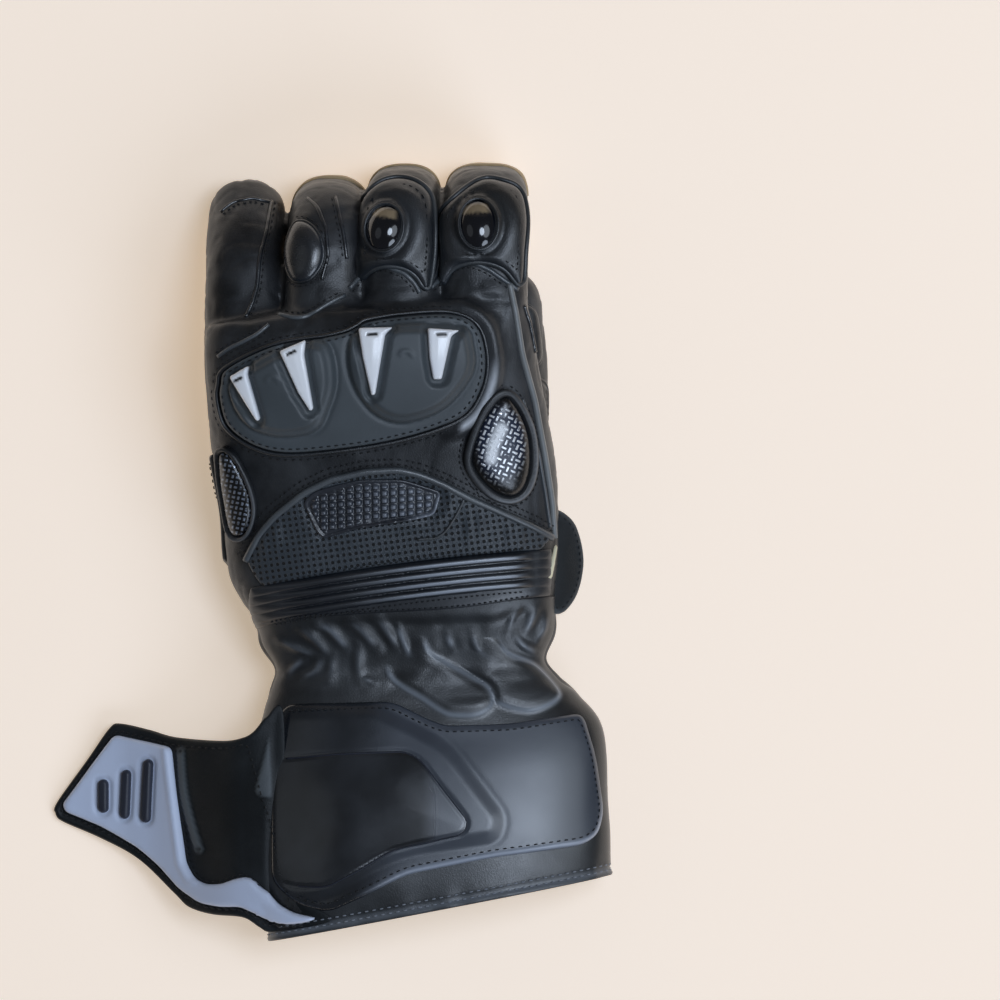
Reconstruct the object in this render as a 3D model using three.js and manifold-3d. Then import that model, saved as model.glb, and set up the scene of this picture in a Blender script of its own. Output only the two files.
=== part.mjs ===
// Left-hand gauntlet lying palm down with its fingers curled and its cuff flap opened out to the left.
// Millimetres, +Z up from the floor, +Y to the fingertips, +X to the thumb.
import * as THREE from 'three';
import { mergeVertices } from 'three/addons/utils/BufferGeometryUtils.js';
import Module from 'manifold-3d';

const wasm = await Module();
wasm.setup();

// Driving sizes
const WALL = 2; // leather with its lining
const GAP = 0.3; // clearance between two pieces that touch
const PATCH = 1.3; // a leather patch sewn on
const STRIP = 0.9; // tan leather on the palm side of the fingers
const MOULDED = 2.2; // moulded rubber plate
const HAND_POINTS = 24; // points round the hand and the cuff
const GATHER_FOLDS = 11; // folds round the gathered wrist
const GATHER_POINTS = 33; // three round each fold
const FINGER_POINTS = 14;
const SQUARENESS = 2.6; // superellipse exponent of the hand
const FINGER_SQUARENESS = 2.2;
const BELOW = -5; // any height under the floor
const ABOVE = 90; // any height over the glove

// Sections across the hand, from the gathered wrist to the knuckles: centre, half width, low and high side, turn in degrees
const HAND_ROWS = [
  { x: 26.0, y: -21.9, half: 52.1, low: 3.4, high: 41, turn: 6 },
  { x: 21.4, y: -3.3, half: 57.0, low: 5.6, high: 46, turn: 5.5 },
  { x: 20.0, y: 19.1, half: 58.0, low: 7.5, high: 52, turn: 5 },
  { x: 16.7, y: 40.9, half: 58.4, low: 13, high: 58, turn: 4.5 },
  { x: 14.0, y: 61.6, half: 57.4, low: 22, high: 62.5, turn: 4.5 },
  { x: 12.6, y: 74.5, half: 56.4, low: 26.4, high: 62.5, turn: 4.5 },
  { x: 12.0, y: 80.5, half: 55.0, low: 29, high: 60.5, turn: 4.5 },
];
// Sections along the gathered wrist; fold is how far its leather gathers in and out
const GATHER_ROWS = [
  { x: 31.9, y: -49.9, half: 53.5, low: 3.2, high: 35.5, turn: 8, fold: 0 },
  { x: 29.8, y: -45.0, half: 49.5, low: 3.1, high: 33.8, turn: 8, fold: 1.1 },
  { x: 27.4, y: -39.5, half: 47.4, low: 3.1, high: 33, turn: 8, fold: 1.5 },
  { x: 26.4, y: -31.0, half: 49.2, low: 3.1, high: 36.5, turn: 7, fold: 1.0 },
  { x: 26.1, y: -22.6, half: 51.6, low: 3.4, high: 40.6, turn: 6, fold: 0 },
];
const CUFF_ROWS = [
  { x: 35.6, y: -122.3, half: 62.6, low: 2.3, high: 45, turn: 10.9 },
  { x: 32.6, y: -100, half: 63.6, low: 2.3, high: 44, turn: 10.5 },
  { x: 32.2, y: -80, half: 62.8, low: 2.3, high: 41.5, turn: 10 },
  { x: 33.0, y: -62, half: 58.6, low: 2.6, high: 37.8, turn: 8.5 },
  { x: 31.9, y: -50.4, half: 53.5, low: 3.2, high: 35.5, turn: 8 },
];
// Fingers: root x and tip x, root y and z, half width and half thickness, pitch of the first length, then bend and last length
const FINGER_ROWS = [
  { name: 'index', x: 51.9, tipX: 53.0, y: 68, z: 45.5, half: 14.7, thick: 12.2, pitch: -4, first: 35.5, radius: 15, bend: 79, last: 17.2 },
  { name: 'middle', x: 23.7, tipX: 24.3, y: 70, z: 46.0, half: 12.9, thick: 12.2, pitch: -4, first: 35.0, radius: 15, bend: 80, last: 17.6 },
  { name: 'ring', x: -2.6, tipX: -2.0, y: 64, z: 45.5, half: 12.9, thick: 12.0, pitch: -5, first: 35.5, radius: 15.5, bend: 76, last: 16.8 },
  { name: 'little', x: -29.3, tipX: -31.6, y: 58, z: 41.5, half: 13.3, thick: 11.6, pitch: -14, first: 34, radius: 38, bend: 34, last: 12 },
];
// Thumb centreline, from the heel of the palm to the tip, and its half width there
const THUMB_ROWS = [
  { x: 50, y: -5, z: 25, half: 14, thick: 12 },
  { x: 57, y: 17, z: 20, half: 14, thick: 12.5 },
  { x: 61, y: 40, z: 16, half: 13, thick: 12.5 },
  { x: 62, y: 62, z: 13.9, half: 12.8, thick: 12 },
  { x: 59.5, y: 80, z: 13.0, half: 12.3, thick: 11.4 },
];
const THUMB_TIP = 14;
const FINGER_TIP = 12.5;
const HAND_FRONT = 5;

const V = (x, y, z) => new THREE.Vector3(x, y, z);
const radians = THREE.MathUtils.degToRad;

// A closed three.js geometry as a solid that can be joined and cut
function solidOf(geometry) {
  const bare = geometry.clone();
  bare.deleteAttribute('normal');
  bare.deleteAttribute('uv');
  const merged = mergeVertices(bare, 1e-4);
  return new wasm.Manifold(new wasm.Mesh({
    numProp: 3,
    vertProperties: merged.attributes.position.array,
    triVerts: new Uint32Array(merged.index.array),
  }));
}

// One section of a tube: its centre, its two directions and its half sizes
function frameOf(row) {
  const turn = radians(row.turn);
  return {
    centre: V(row.x, row.y, (row.low + row.high) / 2),
    side: V(Math.cos(turn), Math.sin(turn), 0),
    up: V(0, 0, 1),
    half: row.half,
    thick: (row.high - row.low) / 2,
    fold: row.fold ?? 0,
    square: SQUARENESS,
  };
}

// Rows between the given ones, on a smooth curve through every column
function refined(rows, steps) {
  const columns = Object.keys(rows[0]);
  const at = (i) => rows[THREE.MathUtils.clamp(i, 0, rows.length - 1)];
  const result = [];
  for (let i = 0; i < rows.length - 1; i += 1) {
    for (let k = 0; k < steps; k += 1) {
      const t = k / steps;
      const row = {};
      for (const column of columns) {
        const [a, b, c, d] = [at(i - 1), at(i), at(i + 1), at(i + 2)].map((r) => r[column]);
        row[column] = 0.5 * (2 * b + (c - a) * t + (2 * a - 5 * b + 4 * c - d) * t * t
          + (3 * b - a - 3 * c + d) * t * t * t);
      }
      result.push(row);
    }
  }
  result.push(rows.at(-1));
  return result;
}

// A point on a section, at an angle round it and a distance off its surface
function onFrame(frame, angle, off) {
  const power = 2 / frame.square;
  const shaped = (v) => Math.sign(v) * Math.abs(v) ** power;
  const extra = off + frame.fold * Math.cos(GATHER_FOLDS * angle);
  return frame.centre.clone()
    .addScaledVector(frame.side, (frame.half + extra) * shaped(Math.cos(angle)))
    .addScaledVector(frame.up, (frame.thick + extra) * shaped(Math.sin(angle)));
}

const forwardOf = (frame) => frame.up.clone().cross(frame.side);

// A closed solid through rings of points, with a fan at each end
function skinned(rings, startPoint, endPoint) {
  const count = rings[0].length;
  const points = [...rings.flat(), startPoint, endPoint];
  const start = points.length - 2;
  const end = points.length - 1;
  const faces = [];
  rings.slice(1).forEach((_, r) => {
    for (let i = 0; i < count; i += 1) {
      const a = r * count + i;
      const b = r * count + (i + 1) % count;
      faces.push(a, b, b + count, a, b + count, a + count);
    }
  });
  for (let i = 0; i < count; i += 1) {
    const next = (i + 1) % count;
    const last = (rings.length - 1) * count;
    faces.push(start, next, i, end, last + i, last + next);
  }
  const geometry = new THREE.BufferGeometry().setFromPoints(points);
  geometry.setIndex(faces);
  const solid = solidOf(geometry);
  if (solid.volume() > 0) return solid;
  geometry.setIndex(faces.reverse());
  return solidOf(geometry);
}

// A tube through frames, grown by off; a tip rounds its far end, an opening carries its near end on past the mouth
function tube(frames, { off = 0, count = HAND_POINTS, tip = 0, mouth = 0, far = 0 }) {
  const ring = (frame, shift = 0, scale = 1) => Array.from({ length: count }, (_, i) => {
    const angle = (i / count) * 2 * Math.PI;
    const point = onFrame(frame, angle, off).sub(frame.centre).multiplyScalar(scale);
    return point.add(frame.centre).addScaledVector(forwardOf(frame), shift);
  });
  const rings = frames.map((frame) => ring(frame));
  if (mouth) rings.unshift(ring(frames[0], -mouth));
  if (far) rings.push(ring(frames.at(-1), far));
  const last = frames.at(-1);
  const reach = tip ? tip + off : far;
  if (tip) {
    for (const degrees of [32, 62]) {
      rings.push(ring(last, reach * Math.sin(radians(degrees)), Math.cos(radians(degrees)) ** 0.8));
    }
  }
  const middle = (points) => points.reduce((sum, p) => sum.add(p), V(0, 0, 0)).divideScalar(points.length);
  const end = tip ? last.centre.clone().addScaledVector(forwardOf(last), reach) : middle(rings.at(-1));
  return skinned(rings, middle(rings[0]), end);
}

// The sections of a finger: straight, round the bend, straight
function fingerFrames(row) {
  const length = row.first + row.radius * radians(row.bend) + row.last;
  const frames = [];
  let pitch = radians(row.pitch);
  let y = row.y;
  let z = row.z;
  let travelled = 0;
  const push = () => frames.push({
    centre: V(THREE.MathUtils.lerp(row.x, row.tipX, travelled / length), y, z),
    side: V(1, 0, 0),
    up: V(0, -Math.sin(pitch), Math.cos(pitch)),
    half: row.half * (1 - 0.08 * (travelled / length) ** 2),
    thick: row.thick,
    fold: 0,
    square: FINGER_SQUARENESS,
  });
  const move = (step) => {
    y += step * Math.cos(pitch);
    z += step * Math.sin(pitch);
    travelled += step;
  };
  const bends = row.bend > 40 ? 4 : 2;
  push();
  move(row.first);
  for (let i = 0; i < bends; i += 1) {
    push();
    pitch -= radians(row.bend) / bends / 2;
    move((row.radius * radians(row.bend)) / bends);
    pitch -= radians(row.bend) / bends / 2;
  }
  push();
  move(row.last);
  push();
  return frames;
}

function thumbFrames() {
  const rows = refined(THUMB_ROWS, 2);
  return rows.map((row, i) => {
    const before = rows[Math.max(i - 1, 0)];
    const after = rows[Math.min(i + 1, rows.length - 1)];
    const ahead = V(after.x - before.x, after.y - before.y, after.z - before.z).normalize();
    const side = ahead.clone().cross(V(0, 0, 1)).normalize();
    return {
      centre: V(row.x, row.y, row.z),
      side,
      up: side.clone().cross(ahead),
      half: row.half,
      thick: row.thick,
      fold: 0,
      square: FINGER_SQUARENESS,
    };
  });
}

const hand = HAND_ROWS.map(frameOf);
const gather = GATHER_ROWS.map(frameOf);
const cuff = CUFF_ROWS.map(frameOf);
const thumb = thumbFrames();
const fingers = Object.fromEntries(FINGER_ROWS.map((row) => [row.name, fingerFrames(row)]));

const handSolid = (off, more = {}) => tube(hand, { off, tip: HAND_FRONT, ...more });
const gatherSolid = (off, more = {}) => tube(gather, { off, count: GATHER_POINTS, ...more });
const cuffSolid = (off, more = {}) => tube(cuff, { off, ...more });
const thumbSolid = (off) => tube(thumb, { off, count: FINGER_POINTS, tip: THUMB_TIP });
const fingerSolid = (name, off) => tube(fingers[name], { off, count: FINGER_POINTS, tip: FINGER_TIP });
const FINGERS = Object.keys(fingers);

// Plan outlines, seen from above
const P = (pairs) => pairs.map(([x, y]) => new THREE.Vector2(x, y));

function rounded(pairs, steps = 3) {
  const curve = new THREE.CatmullRomCurve3(pairs.map(([x, y]) => V(x, y, 0)), true, 'centripetal');
  return curve.getPoints(Math.round(pairs.length * steps)).slice(0, -1).map((p) => new THREE.Vector2(p.x, p.y));
}

function oval(x, y, halfX, halfY, lean = 0, count = 14) {
  return Array.from({ length: count }, (_, i) => {
    const angle = (i / count) * 2 * Math.PI;
    return new THREE.Vector2(halfX * Math.cos(angle), halfY * Math.sin(angle))
      .rotateAround(new THREE.Vector2(0, 0), radians(lean)).add(new THREE.Vector2(x, y));
  });
}

// A bar with round ends
function bar(x, y, radius, half, lean) {
  return Array.from({ length: 12 }, (_, i) => {
    const angle = ((i + 0.5) / 12) * 2 * Math.PI;
    const end = Math.sign(Math.sin(angle)) * (half - radius);
    return new THREE.Vector2(radius * Math.cos(angle), radius * Math.sin(angle) + end)
      .rotateAround(new THREE.Vector2(0, 0), radians(lean)).add(new THREE.Vector2(x, y));
  });
}

// An outline moved outward by a distance
function grown(outline, by) {
  const sign = THREE.ShapeUtils.area(outline) > 0 ? 1 : -1;
  const count = outline.length;
  return outline.map((point, i) => {
    const back = point.clone().sub(outline[(i + count - 1) % count]).normalize();
    const on = outline[(i + 1) % count].clone().sub(point).normalize();
    const first = new THREE.Vector2(back.y, -back.x).multiplyScalar(sign);
    const second = new THREE.Vector2(on.y, -on.x).multiplyScalar(sign);
    const out = first.clone().add(second).normalize();
    return point.clone().addScaledVector(out, by / Math.max(0.5, out.dot(first)));
  });
}

function prism(outline, low = BELOW, high = ABOVE) {
  const geometry = new THREE.ExtrudeGeometry(new THREE.Shape(outline), { depth: high - low, bevelEnabled: false });
  return solidOf(geometry.translate(0, 0, low));
}

// A band of the given width along an open line
function band(pairs, width) {
  const curve = new THREE.CatmullRomCurve3(pairs.map(([x, y]) => V(x, y, 0)), false, 'centripetal');
  const line = curve.getPoints(pairs.length + 3);
  const edge = (side) => line.map((p, i) => {
    const ahead = line[Math.min(i + 1, line.length - 1)].clone().sub(line[Math.max(i - 1, 0)]).normalize();
    return new THREE.Vector2(p.x - ahead.y * side, p.y + ahead.x * side);
  });
  return [...edge(width / 2), ...edge(-width / 2).reverse()];
}

// A block between two heights over an outline, cut to lie between two grown copies of a base
function overlay(base, outline, thickness, { from = GAP, low = BELOW, high = ABOVE } = {}) {
  return prism(outline, low, high).intersect(base(from + thickness)).subtract(base(from));
}

const TOP = { low: 26 }; // the back of the hand only
const KNUCKLES = { low: 40 };
const UNDER = { low: 0, high: 34 }; // the palm side only, cut flat at the floor
const onHand = (outline, thickness, more = {}) => overlay(handSolid, outline, thickness, { ...TOP, ...more });
const underHand = (outline, thickness, more = {}) => overlay(handSolid, outline, thickness, { ...UNDER, ...more });

const pieces = {};

// Hand, fingers, thumb, gathered wrist and cuff: hollow walls
function buildShells() {
  let shell = handSolid(0).subtract(handSolid(-WALL, { mouth: 4, tip: HAND_FRONT - 1 }));
  for (const name of FINGERS) shell = shell.subtract(fingerSolid(name, -WALL));
  pieces.hand_shell = shell.subtract(thumbSolid(-WALL));
  const clear = handSolid(GAP);
  for (const name of FINGERS) {
    pieces[`finger_${name}`] = fingerSolid(name, 0).subtract(fingerSolid(name, -WALL)).subtract(clear);
  }
  pieces.thumb = thumbSolid(0).subtract(thumbSolid(-WALL)).subtract(clear);
  pieces.wrist_gather = gatherSolid(0).subtract(gatherSolid(-WALL, { mouth: 4, far: 4 }));
  pieces.cuff = cuffSolid(0).subtract(cuffSolid(-WALL, { mouth: 4, far: 4 }));
}

const GUARD = [[-38.1, 57.1], [-35.7, 62.3], [-19.1, 70.2], [-0.5, 73.3], [7.8, 75.7], [12, 78.4], [24.7, 80.6], [41.2, 81.2],
  [50.2, 76.8], [53.3, 66.8], [52.3, 56.8], [46.7, 47.1], [35.7, 41.6], [19.1, 37.1], [0.5, 34.3], [-16, 33.3],
  [-27.1, 36.1], [-35.7, 42.6], [-38.5, 51.6]];
const LOBES = [
  [[-35.2, 59.2], [-27.1, 64.2], [-18.1, 69], [-8.1, 72.2], [-0.5, 70.2], [1.9, 58.1], [-0.5, 48.1], [-5, 40.5], [-16, 38.4],
    [-27.1, 41.2], [-33.6, 48.6]],
  [[7, 72], [12, 76.8], [27.1, 78], [45.7, 77], [49.5, 70], [49.5, 61], [43.3, 51.6], [35.7, 46.1], [24.7, 43.3], [16, 46],
    [9.5, 53.6], [6.4, 63]],
];
// Tapered bright inserts of the knuckle guard, from the little finger to the index finger
const INSERTS = [
  [[-34.7, 59.4], [-28.1, 63], [-24.1, 45], [-24.9, 43.9], [-26.1, 44.6]],
  [[-17.4, 68.2], [-8.4, 72], [-5.6, 48.6], [-6.9, 47.3], [-8.5, 47.8]],
  [[9.7, 76.3], [20.4, 76.6], [15.8, 53.6], [14.6, 52.6], [13.2, 53.4]],
  [[33.4, 76.2], [43.7, 75.6], [38.4, 58.8], [36.6, 57.9], [34.9, 58.8]],
];

function buildKnuckleGuard() {
  let guard = onHand(P(GUARD), MOULDED, KNUCKLES);
  for (const lobe of LOBES) {
    guard = guard.add(onHand(P(lobe), 3.6, { ...KNUCKLES, from: 1 }));
    guard = guard.add(onHand(grown(P(lobe), -2.4), 5.2, { ...KNUCKLES, from: 1 }));
  }
  INSERTS.forEach((insert, i) => {
    guard = guard.subtract(onHand(grown(P(insert), GAP), 9, { ...KNUCKLES, from: 2.6 }));
    pieces[`knuckle_insert_${i + 1}`] = onHand(P(insert), 3.8, { ...KNUCKLES, from: 2.9 });
  });
  pieces.knuckle_guard = guard;
}

// The padded backs of the finger joints and their glossy domes
function ellipsoid(x, y, z, a, b, c, lean) {
  const ball = new THREE.SphereGeometry(1, 14, 8).scale(a, b, c);
  return solidOf(ball.rotateZ(radians(lean)).translate(x, y, z));
}

const PADS = [
  { name: 'index', cap: [51, 109.5, 49.2, 6.2, 8.2, 8, -4], outline: [[40, 89.5], [39, 104], [40.5, 116], [46, 122.5], [54, 125], [61, 122],
    [65.3, 115], [66, 103], [64.6, 90], [58, 96.5], [52, 98.2], [46, 96]] },
  { name: 'middle', cap: [20.6, 110.2, 50.0, 6, 7.6, 8, 12], outline: [[12.4, 90], [12, 104], [12.6, 116], [18, 122.5], [24.5, 124.5],
    [31, 122], [35.3, 115], [36, 103], [35, 89.5], [29.5, 95.6], [24, 97.4], [18, 96]] },
];

function buildFingerPads() {
  for (const pad of PADS) {
    const base = (off) => fingerSolid(pad.name, off);
    const [x, y, z, a, b, c, lean] = pad.cap;
    const dome = ellipsoid(x, y, z, a, b, c, lean);
    const seat = ellipsoid(x, y, z, a + GAP, b + GAP, c + GAP, lean);
    pieces[`finger_pad_${pad.name}`] = overlay(base, P(pad.outline), 3.2, { low: 45 })
      .add(overlay(base, oval(x, y, a + 2.4, b + 2.6, lean), 4.4, { low: 45 })).subtract(seat)
      .subtract(handSolid(GAP));
    pieces[`knuckle_cap_${pad.name}`] = dome.subtract(base(GAP));
  }
  const ring = (off) => fingerSolid('ring', off);
  pieces.ring_pad = overlay(ring, oval(-7.2, 101.6, 7.6, 13, -14), 2.6, { low: 45 }).subtract(handSolid(GAP));
}

// Sliders on the sides of the back of the hand
const TEAR = [[60.9, 52.6], [67.1, 42.6], [68.6, 30.5], [66.4, 21.6], [61.3, 18.5], [54.3, 21.6], [48.8, 29.5], [50.2, 38.1], [55, 48.1]];
const EDGE = [[-38.6, 33.6], [-34, 31.6], [-28.9, 21.6], [-27.4, 12.9], [-30.2, 5.4], [-34.7, 6], [-37.6, 17.4], [-39.2, 27.1]];

function buildSliders() {
  for (const [name, outline, rim] of [['thumb_side_slider', TEAR, 2.6], ['edge_slider', EDGE, 1.6]]) {
    const outer = rounded(outline, 1.5);
    const inner = grown(outer, -rim);
    pieces[`${name}_rim`] = onHand(outer, MOULDED, { low: 28 })
      .subtract(prism(inner));
    pieces[name] = onHand(grown(inner, -GAP), 3.4, { low: 28 });
  }
}

// The moulded scoop, the perforated leather, the piped arc seam and the ribbed panel below it
const ARC = [[-29.5, -3.5], [-19, 12], [-9, 19.8], [0, 24.2], [11.8, 26.9], [23.3, 27.6], [37.9, 23], [48.5, 17.4], [58.8, 12.9],
  [69.5, 8.1]];
const SCOOP = [[-9.8, 16.4], [-5, 20.3], [9.5, 24], [24.7, 24.2], [38.2, 20], [35.7, 12.2], [27.1, 10.2], [9.5, 7.4], [-2.2, 5.3],
  [-5, 7.1]];
// The ribbed panel rises to the right by its slope; its heights are those at x = 0
const PLEATED = { left: -28, right: 73.6, low: -22.8, high: -8.9, slope: 0.145, ribs: 4, pitch: 2.9 };
const PERFORATED = [...ARC, [72, PLEATED.high + GAP + 72 * PLEATED.slope], [-27.6, PLEATED.high + GAP - 27.6 * PLEATED.slope]];

function buildBackPanels() {
  const cord = band(ARC, 2.6);
  pieces.arc_piping = onHand(cord, 2);
  pieces.vent_scoop = onHand(P(SCOOP), 1.4).add(onHand(P(SCOOP), 2.6).subtract(prism(grown(P(SCOOP), -1.6))));
  pieces.perforated_panel = onHand(P(PERFORATED), PATCH).subtract(prism(grown(cord, GAP)))
    .subtract(prism(grown(P(SCOOP), GAP)));
  const { left, right, low, high, slope, ribs, pitch } = PLEATED;
  const line = (y) => [[left, y + slope * left], [right, y + slope * right]];
  const strip = (from, to) => P([...line(from), ...line(to).reverse()]);
  let pleats = onHand(strip(low, high), PATCH, { low: 22 });
  for (let i = 0; i < ribs; i += 1) {
    const top = high - pitch * (i + 0.1);
    pleats = pleats.add(onHand(strip(top - pitch * 0.75, top), 2.6, { from: 0.6, low: 22 }));
  }
  pieces.pleat_panel = pleats;
}

// The palm side: tan palm, dark grip, heel panel with its two sliders, side patches
const PALM = [[-38, 36], [-40.5, 60], [-40, 75], [-10, 79], [30, 82], [60, 83], [66, 62], [66, 47], [58, 37]];
const GRIP = [[-16.4, 67.1], [9.2, 77.6], [19.8, 76.4], [35.2, 79], [45.4, 76.4], [54.6, 75.4], [49, 62], [41, 51.2], [35.2, 49.9],
  [30, 42], [25.7, 38], [-1.8, 37.5], [-10.2, 42], [-17.1, 55]];
const HEEL = [[-38.6, 34.4], [-39.6, 12], [-35, -6], [-18, -17.6], [-9.8, -11.4], [0.4, -9.6], [10.3, -14.3], [21.3, -18.2],
  [32.3, -19.8], [41, -18.6], [48, -14], [60, -8], [60, 12], [57, 34.6], [30, 35.4]];
const HEEL_SLIDERS = [
  { name: 'palm_slider_thumb', outline: [[14, 25.5], [46.5, 31], [49, 18], [36, 4.5], [26, 2], [15.4, 7.6]], ribs: [22.5, 28.5, 34.5], rib: [9.5, 24] },
  { name: 'palm_slider_edge', outline: [[-35, 10], [-24, 19], [-7.4, 21.4], [-5.2, 13.6], [-14.6, 2], [-29, -1.5]], ribs: [-25, -20, -15], rib: [3.5, 16] },
];

function buildPalm() {
  let digits = thumbSolid(GAP);
  for (const name of FINGERS) digits = digits.add(fingerSolid(name, STRIP + 2 * GAP));
  const grip = P(GRIP);
  pieces.palm_panel = underHand(P(PALM), PATCH).subtract(prism(grown(grip, GAP))).subtract(digits);
  pieces.palm_grip = underHand(grip, PATCH + 0.3).subtract(digits);
  pieces.heel_panel = underHand(P(HEEL), PATCH).subtract(digits)
    .subtract(prism(grown(P(PALM), GAP)));
  for (const slider of HEEL_SLIDERS) {
    const from = GAP + PATCH + GAP;
    let body = underHand(P(slider.outline), 1.8, { from });
    for (const x of slider.ribs) {
      body = body.add(underHand(bar(x, (slider.rib[0] + slider.rib[1]) / 2, 1.4, (slider.rib[1] - slider.rib[0]) / 2, 0), 3,
        { from: from + 0.8 }));
    }
    pieces[slider.name] = body.subtract(digits);
  }
}

// A slab along one side of a tube, between two angles and two of its sections
function strip(frames, { first, last, start, end, thickness, from = GAP, steps = 5 }) {
  const sweep = (off) => frames.slice(first, last + 1).map((frame) => Array.from({ length: steps }, (_, i) => (
    onFrame(frame, radians(start + ((end - start) * i) / (steps - 1)), off))));
  const inner = sweep(-1);
  const outer = sweep(from + thickness);
  const rings = outer.map((row, i) => [...row, ...inner[i].slice().reverse()]);
  const middle = (points) => points.reduce((sum, p) => sum.add(p), V(0, 0, 0)).divideScalar(points.length);
  return skinned(rings, middle(rings[0]), middle(rings.at(-1))).subtract(tube(frames, { off: from, count: FINGER_POINTS, tip: 8 }));
}

// Tan strips and dark grips on the palm side of the fingers and the thumb
function buildFingerStrips() {
  const handClear = handSolid(GAP);
  for (const name of FINGERS) {
    const far = fingers[name].length - 1;
    const plain = { first: 0, last: far, start: 205, end: 335, thickness: STRIP };
    const grip = { first: far - 1, last: far, start: 212, end: 328, thickness: 0.8, from: STRIP + 3 * GAP };
    pieces[`palm_strip_${name}`] = strip(fingers[name], plain).subtract(handClear);
    if (name !== 'little') pieces[`grip_${name}`] = strip(fingers[name], grip).subtract(handClear);
  }
}

// Wrist strap, its hook pad and its pull tab
const LOOP_PAD = [[-23, -28.8], [16.4, -24.8], [16.4, -38.6], [-21, -38.2]];
const STRAP = [[17.1, -25.5], [62, -22.5], [67, -30], [64.6, -41.4], [40, -43], [17.1, -38.7]];
const TAB = [[62, 4], [73.7, 8.8], [78.8, 9.8], [84, 3.6], [86.8, -6], [85.7, -14.3], [80.6, -21.9], [76.4, -22.9], [64, -20]];

function buildWristStrap() {
  const under = (outline, thickness) => overlay(gatherSolid, outline, thickness, { low: 0, high: 16 });
  pieces.wrist_loop_pad = under(P(LOOP_PAD), 1.2);
  pieces.wrist_strap = under(P(STRAP), 1.6);
  const slope = new THREE.Shape(P([[58, 26.5], [74, 24.5], [90, 13], [90, 11], [74, 22.4], [58, 24.4]]));
  const slab = new THREE.ExtrudeGeometry(slope, { depth: 60, bevelEnabled: false }).rotateX(Math.PI / 2).translate(0, 30, 0);
  pieces.strap_tab = solidOf(slab).intersect(prism(rounded(TAB, 2))).subtract(handSolid(GAP)).subtract(gatherSolid(GAP));
}

// The moulded cuff guard and the flap that opens out to the left
const CUFF_GUARD = [[-21.9, -60.6], [-17.1, -52.6], [20.9, -51.6], [33.6, -57.8], [39.2, -59.9], [61.6, -59.2], [86.5, -55.4], [90.5, -70.6],
  [93, -90.2], [90.5, -98.8], [85.7, -101.6], [54.7, -105.7], [26.4, -111.3], [12.2, -118.5], [-1.4, -124.6], [-11.3, -122.4],
  [-16.4, -119.2], [-21.9, -114]];
const BEVELS = [
  { outline: [[-21, -66.5], [18, -55], [38.8, -65.6], [60.5, -95], [57, -100.5], [24, -107], [10, -113.5], [-2, -119.5], [-12, -118]], rise: 3.2 },
  { outline: [[-20, -69.5], [2.9, -69.5], [26.4, -68.5], [30.5, -71.2], [47.4, -93.7], [46.1, -96.8], [20.9, -103], [9.5, -109.9],
    [-1.9, -115.1], [-11.6, -115.7]], rise: 4.4 },
];
const FLAP = [[-22.2, -60.9], [-29.2, -64.3], [-37.8, -65.7], [-54.3, -65], [-63.7, -62.6], [-74, -60.5], [-77.8, -61.9], [-85.4, -72.6],
  [-96.6, -88.3], [-97, -91.9], [-94.7, -94.7], [-80.9, -100.6], [-67.4, -107.8], [-54.3, -119.5], [-49.2, -124], [-41.2, -126.1],
  [-30.5, -126.8], [-24.7, -130.2], [-20, -131.6], [-1.2, -128], [-1.6, -125.1], [-11.6, -122.9], [-16.7, -119.7], [-22.2, -114.4]];
const FLAP_GUARD = [[-75.7, -64.3], [-65, -66.4], [-54.7, -68.5], [-53.6, -78.1], [-51.6, -93.7], [-49.5, -108.5], [-46.4, -113.7],
  [-42.6, -115.7], [-37.1, -115.4], [-31.2, -113], [-27.4, -112.6], [-24.4, -115], [-18.6, -121], [-12.4, -124.6], [-4, -126.4],
  [-8.1, -127.9], [-14.7, -128.6], [-22.6, -126.8], [-30.5, -123], [-37.1, -123.3], [-44, -122.3], [-51.6, -117.5], [-58.5, -110.2],
  [-67.4, -103.3], [-80.9, -96.1], [-93.3, -91.3], [-94.2, -88.6]];
const BARS = [
  { x: -79.2, y: -85.7, half: 5.9, lean: 0 },
  { x: -70.9, y: -85.0, half: 8.6, lean: 3 },
  { x: -63.0, y: -83.7, half: 11.1, lean: 3 },
];
// Height of the flap's underside, from the shoulder of the cuff out to the point
const FLAP_SLOPE = [[-24, 34], [-29, 32.2], [-34.5, 29.5], [-42, 24], [-50, 17.6], [-60, 11], [-72, 5.8], [-86, 2.6], [-100, 0.9]];

function flapBelow(off) {
  const edge = FLAP_SLOPE.map(([x, z]) => new THREE.Vector2(x, z + off));
  const shape = new THREE.Shape([...edge, new THREE.Vector2(-100, BELOW - 10), new THREE.Vector2(-24, BELOW - 10)]);
  const slab = new THREE.ExtrudeGeometry(shape, { depth: 100, bevelEnabled: false }).rotateX(Math.PI / 2).translate(0, -45, 0);
  const side = prism(P([[-34.5, -40], [40, -40], [40, -150], [-34.5, -150]]), BELOW - 20, 20);
  return solidOf(slab).add(cuffSolid(GAP + off)).subtract(side);
}

function buildCuffGuard() {
  const onCuff = (outline, thickness, more = {}) => overlay(cuffSolid, outline, thickness, { low: 20, ...more });
  let guard = onCuff(P(CUFF_GUARD), MOULDED);
  for (const bevel of BEVELS) guard = guard.add(onCuff(P(bevel.outline), bevel.rise, { from: 1 }));
  pieces.cuff_guard = guard;
  const under = (outline, thickness) => overlay(cuffSolid, outline, thickness, { low: 0, high: 16 });
  pieces.cuff_loop_pad = under(P([[8, -76], [58, -68], [60, -96], [10, -104]]), 3);
}

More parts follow.
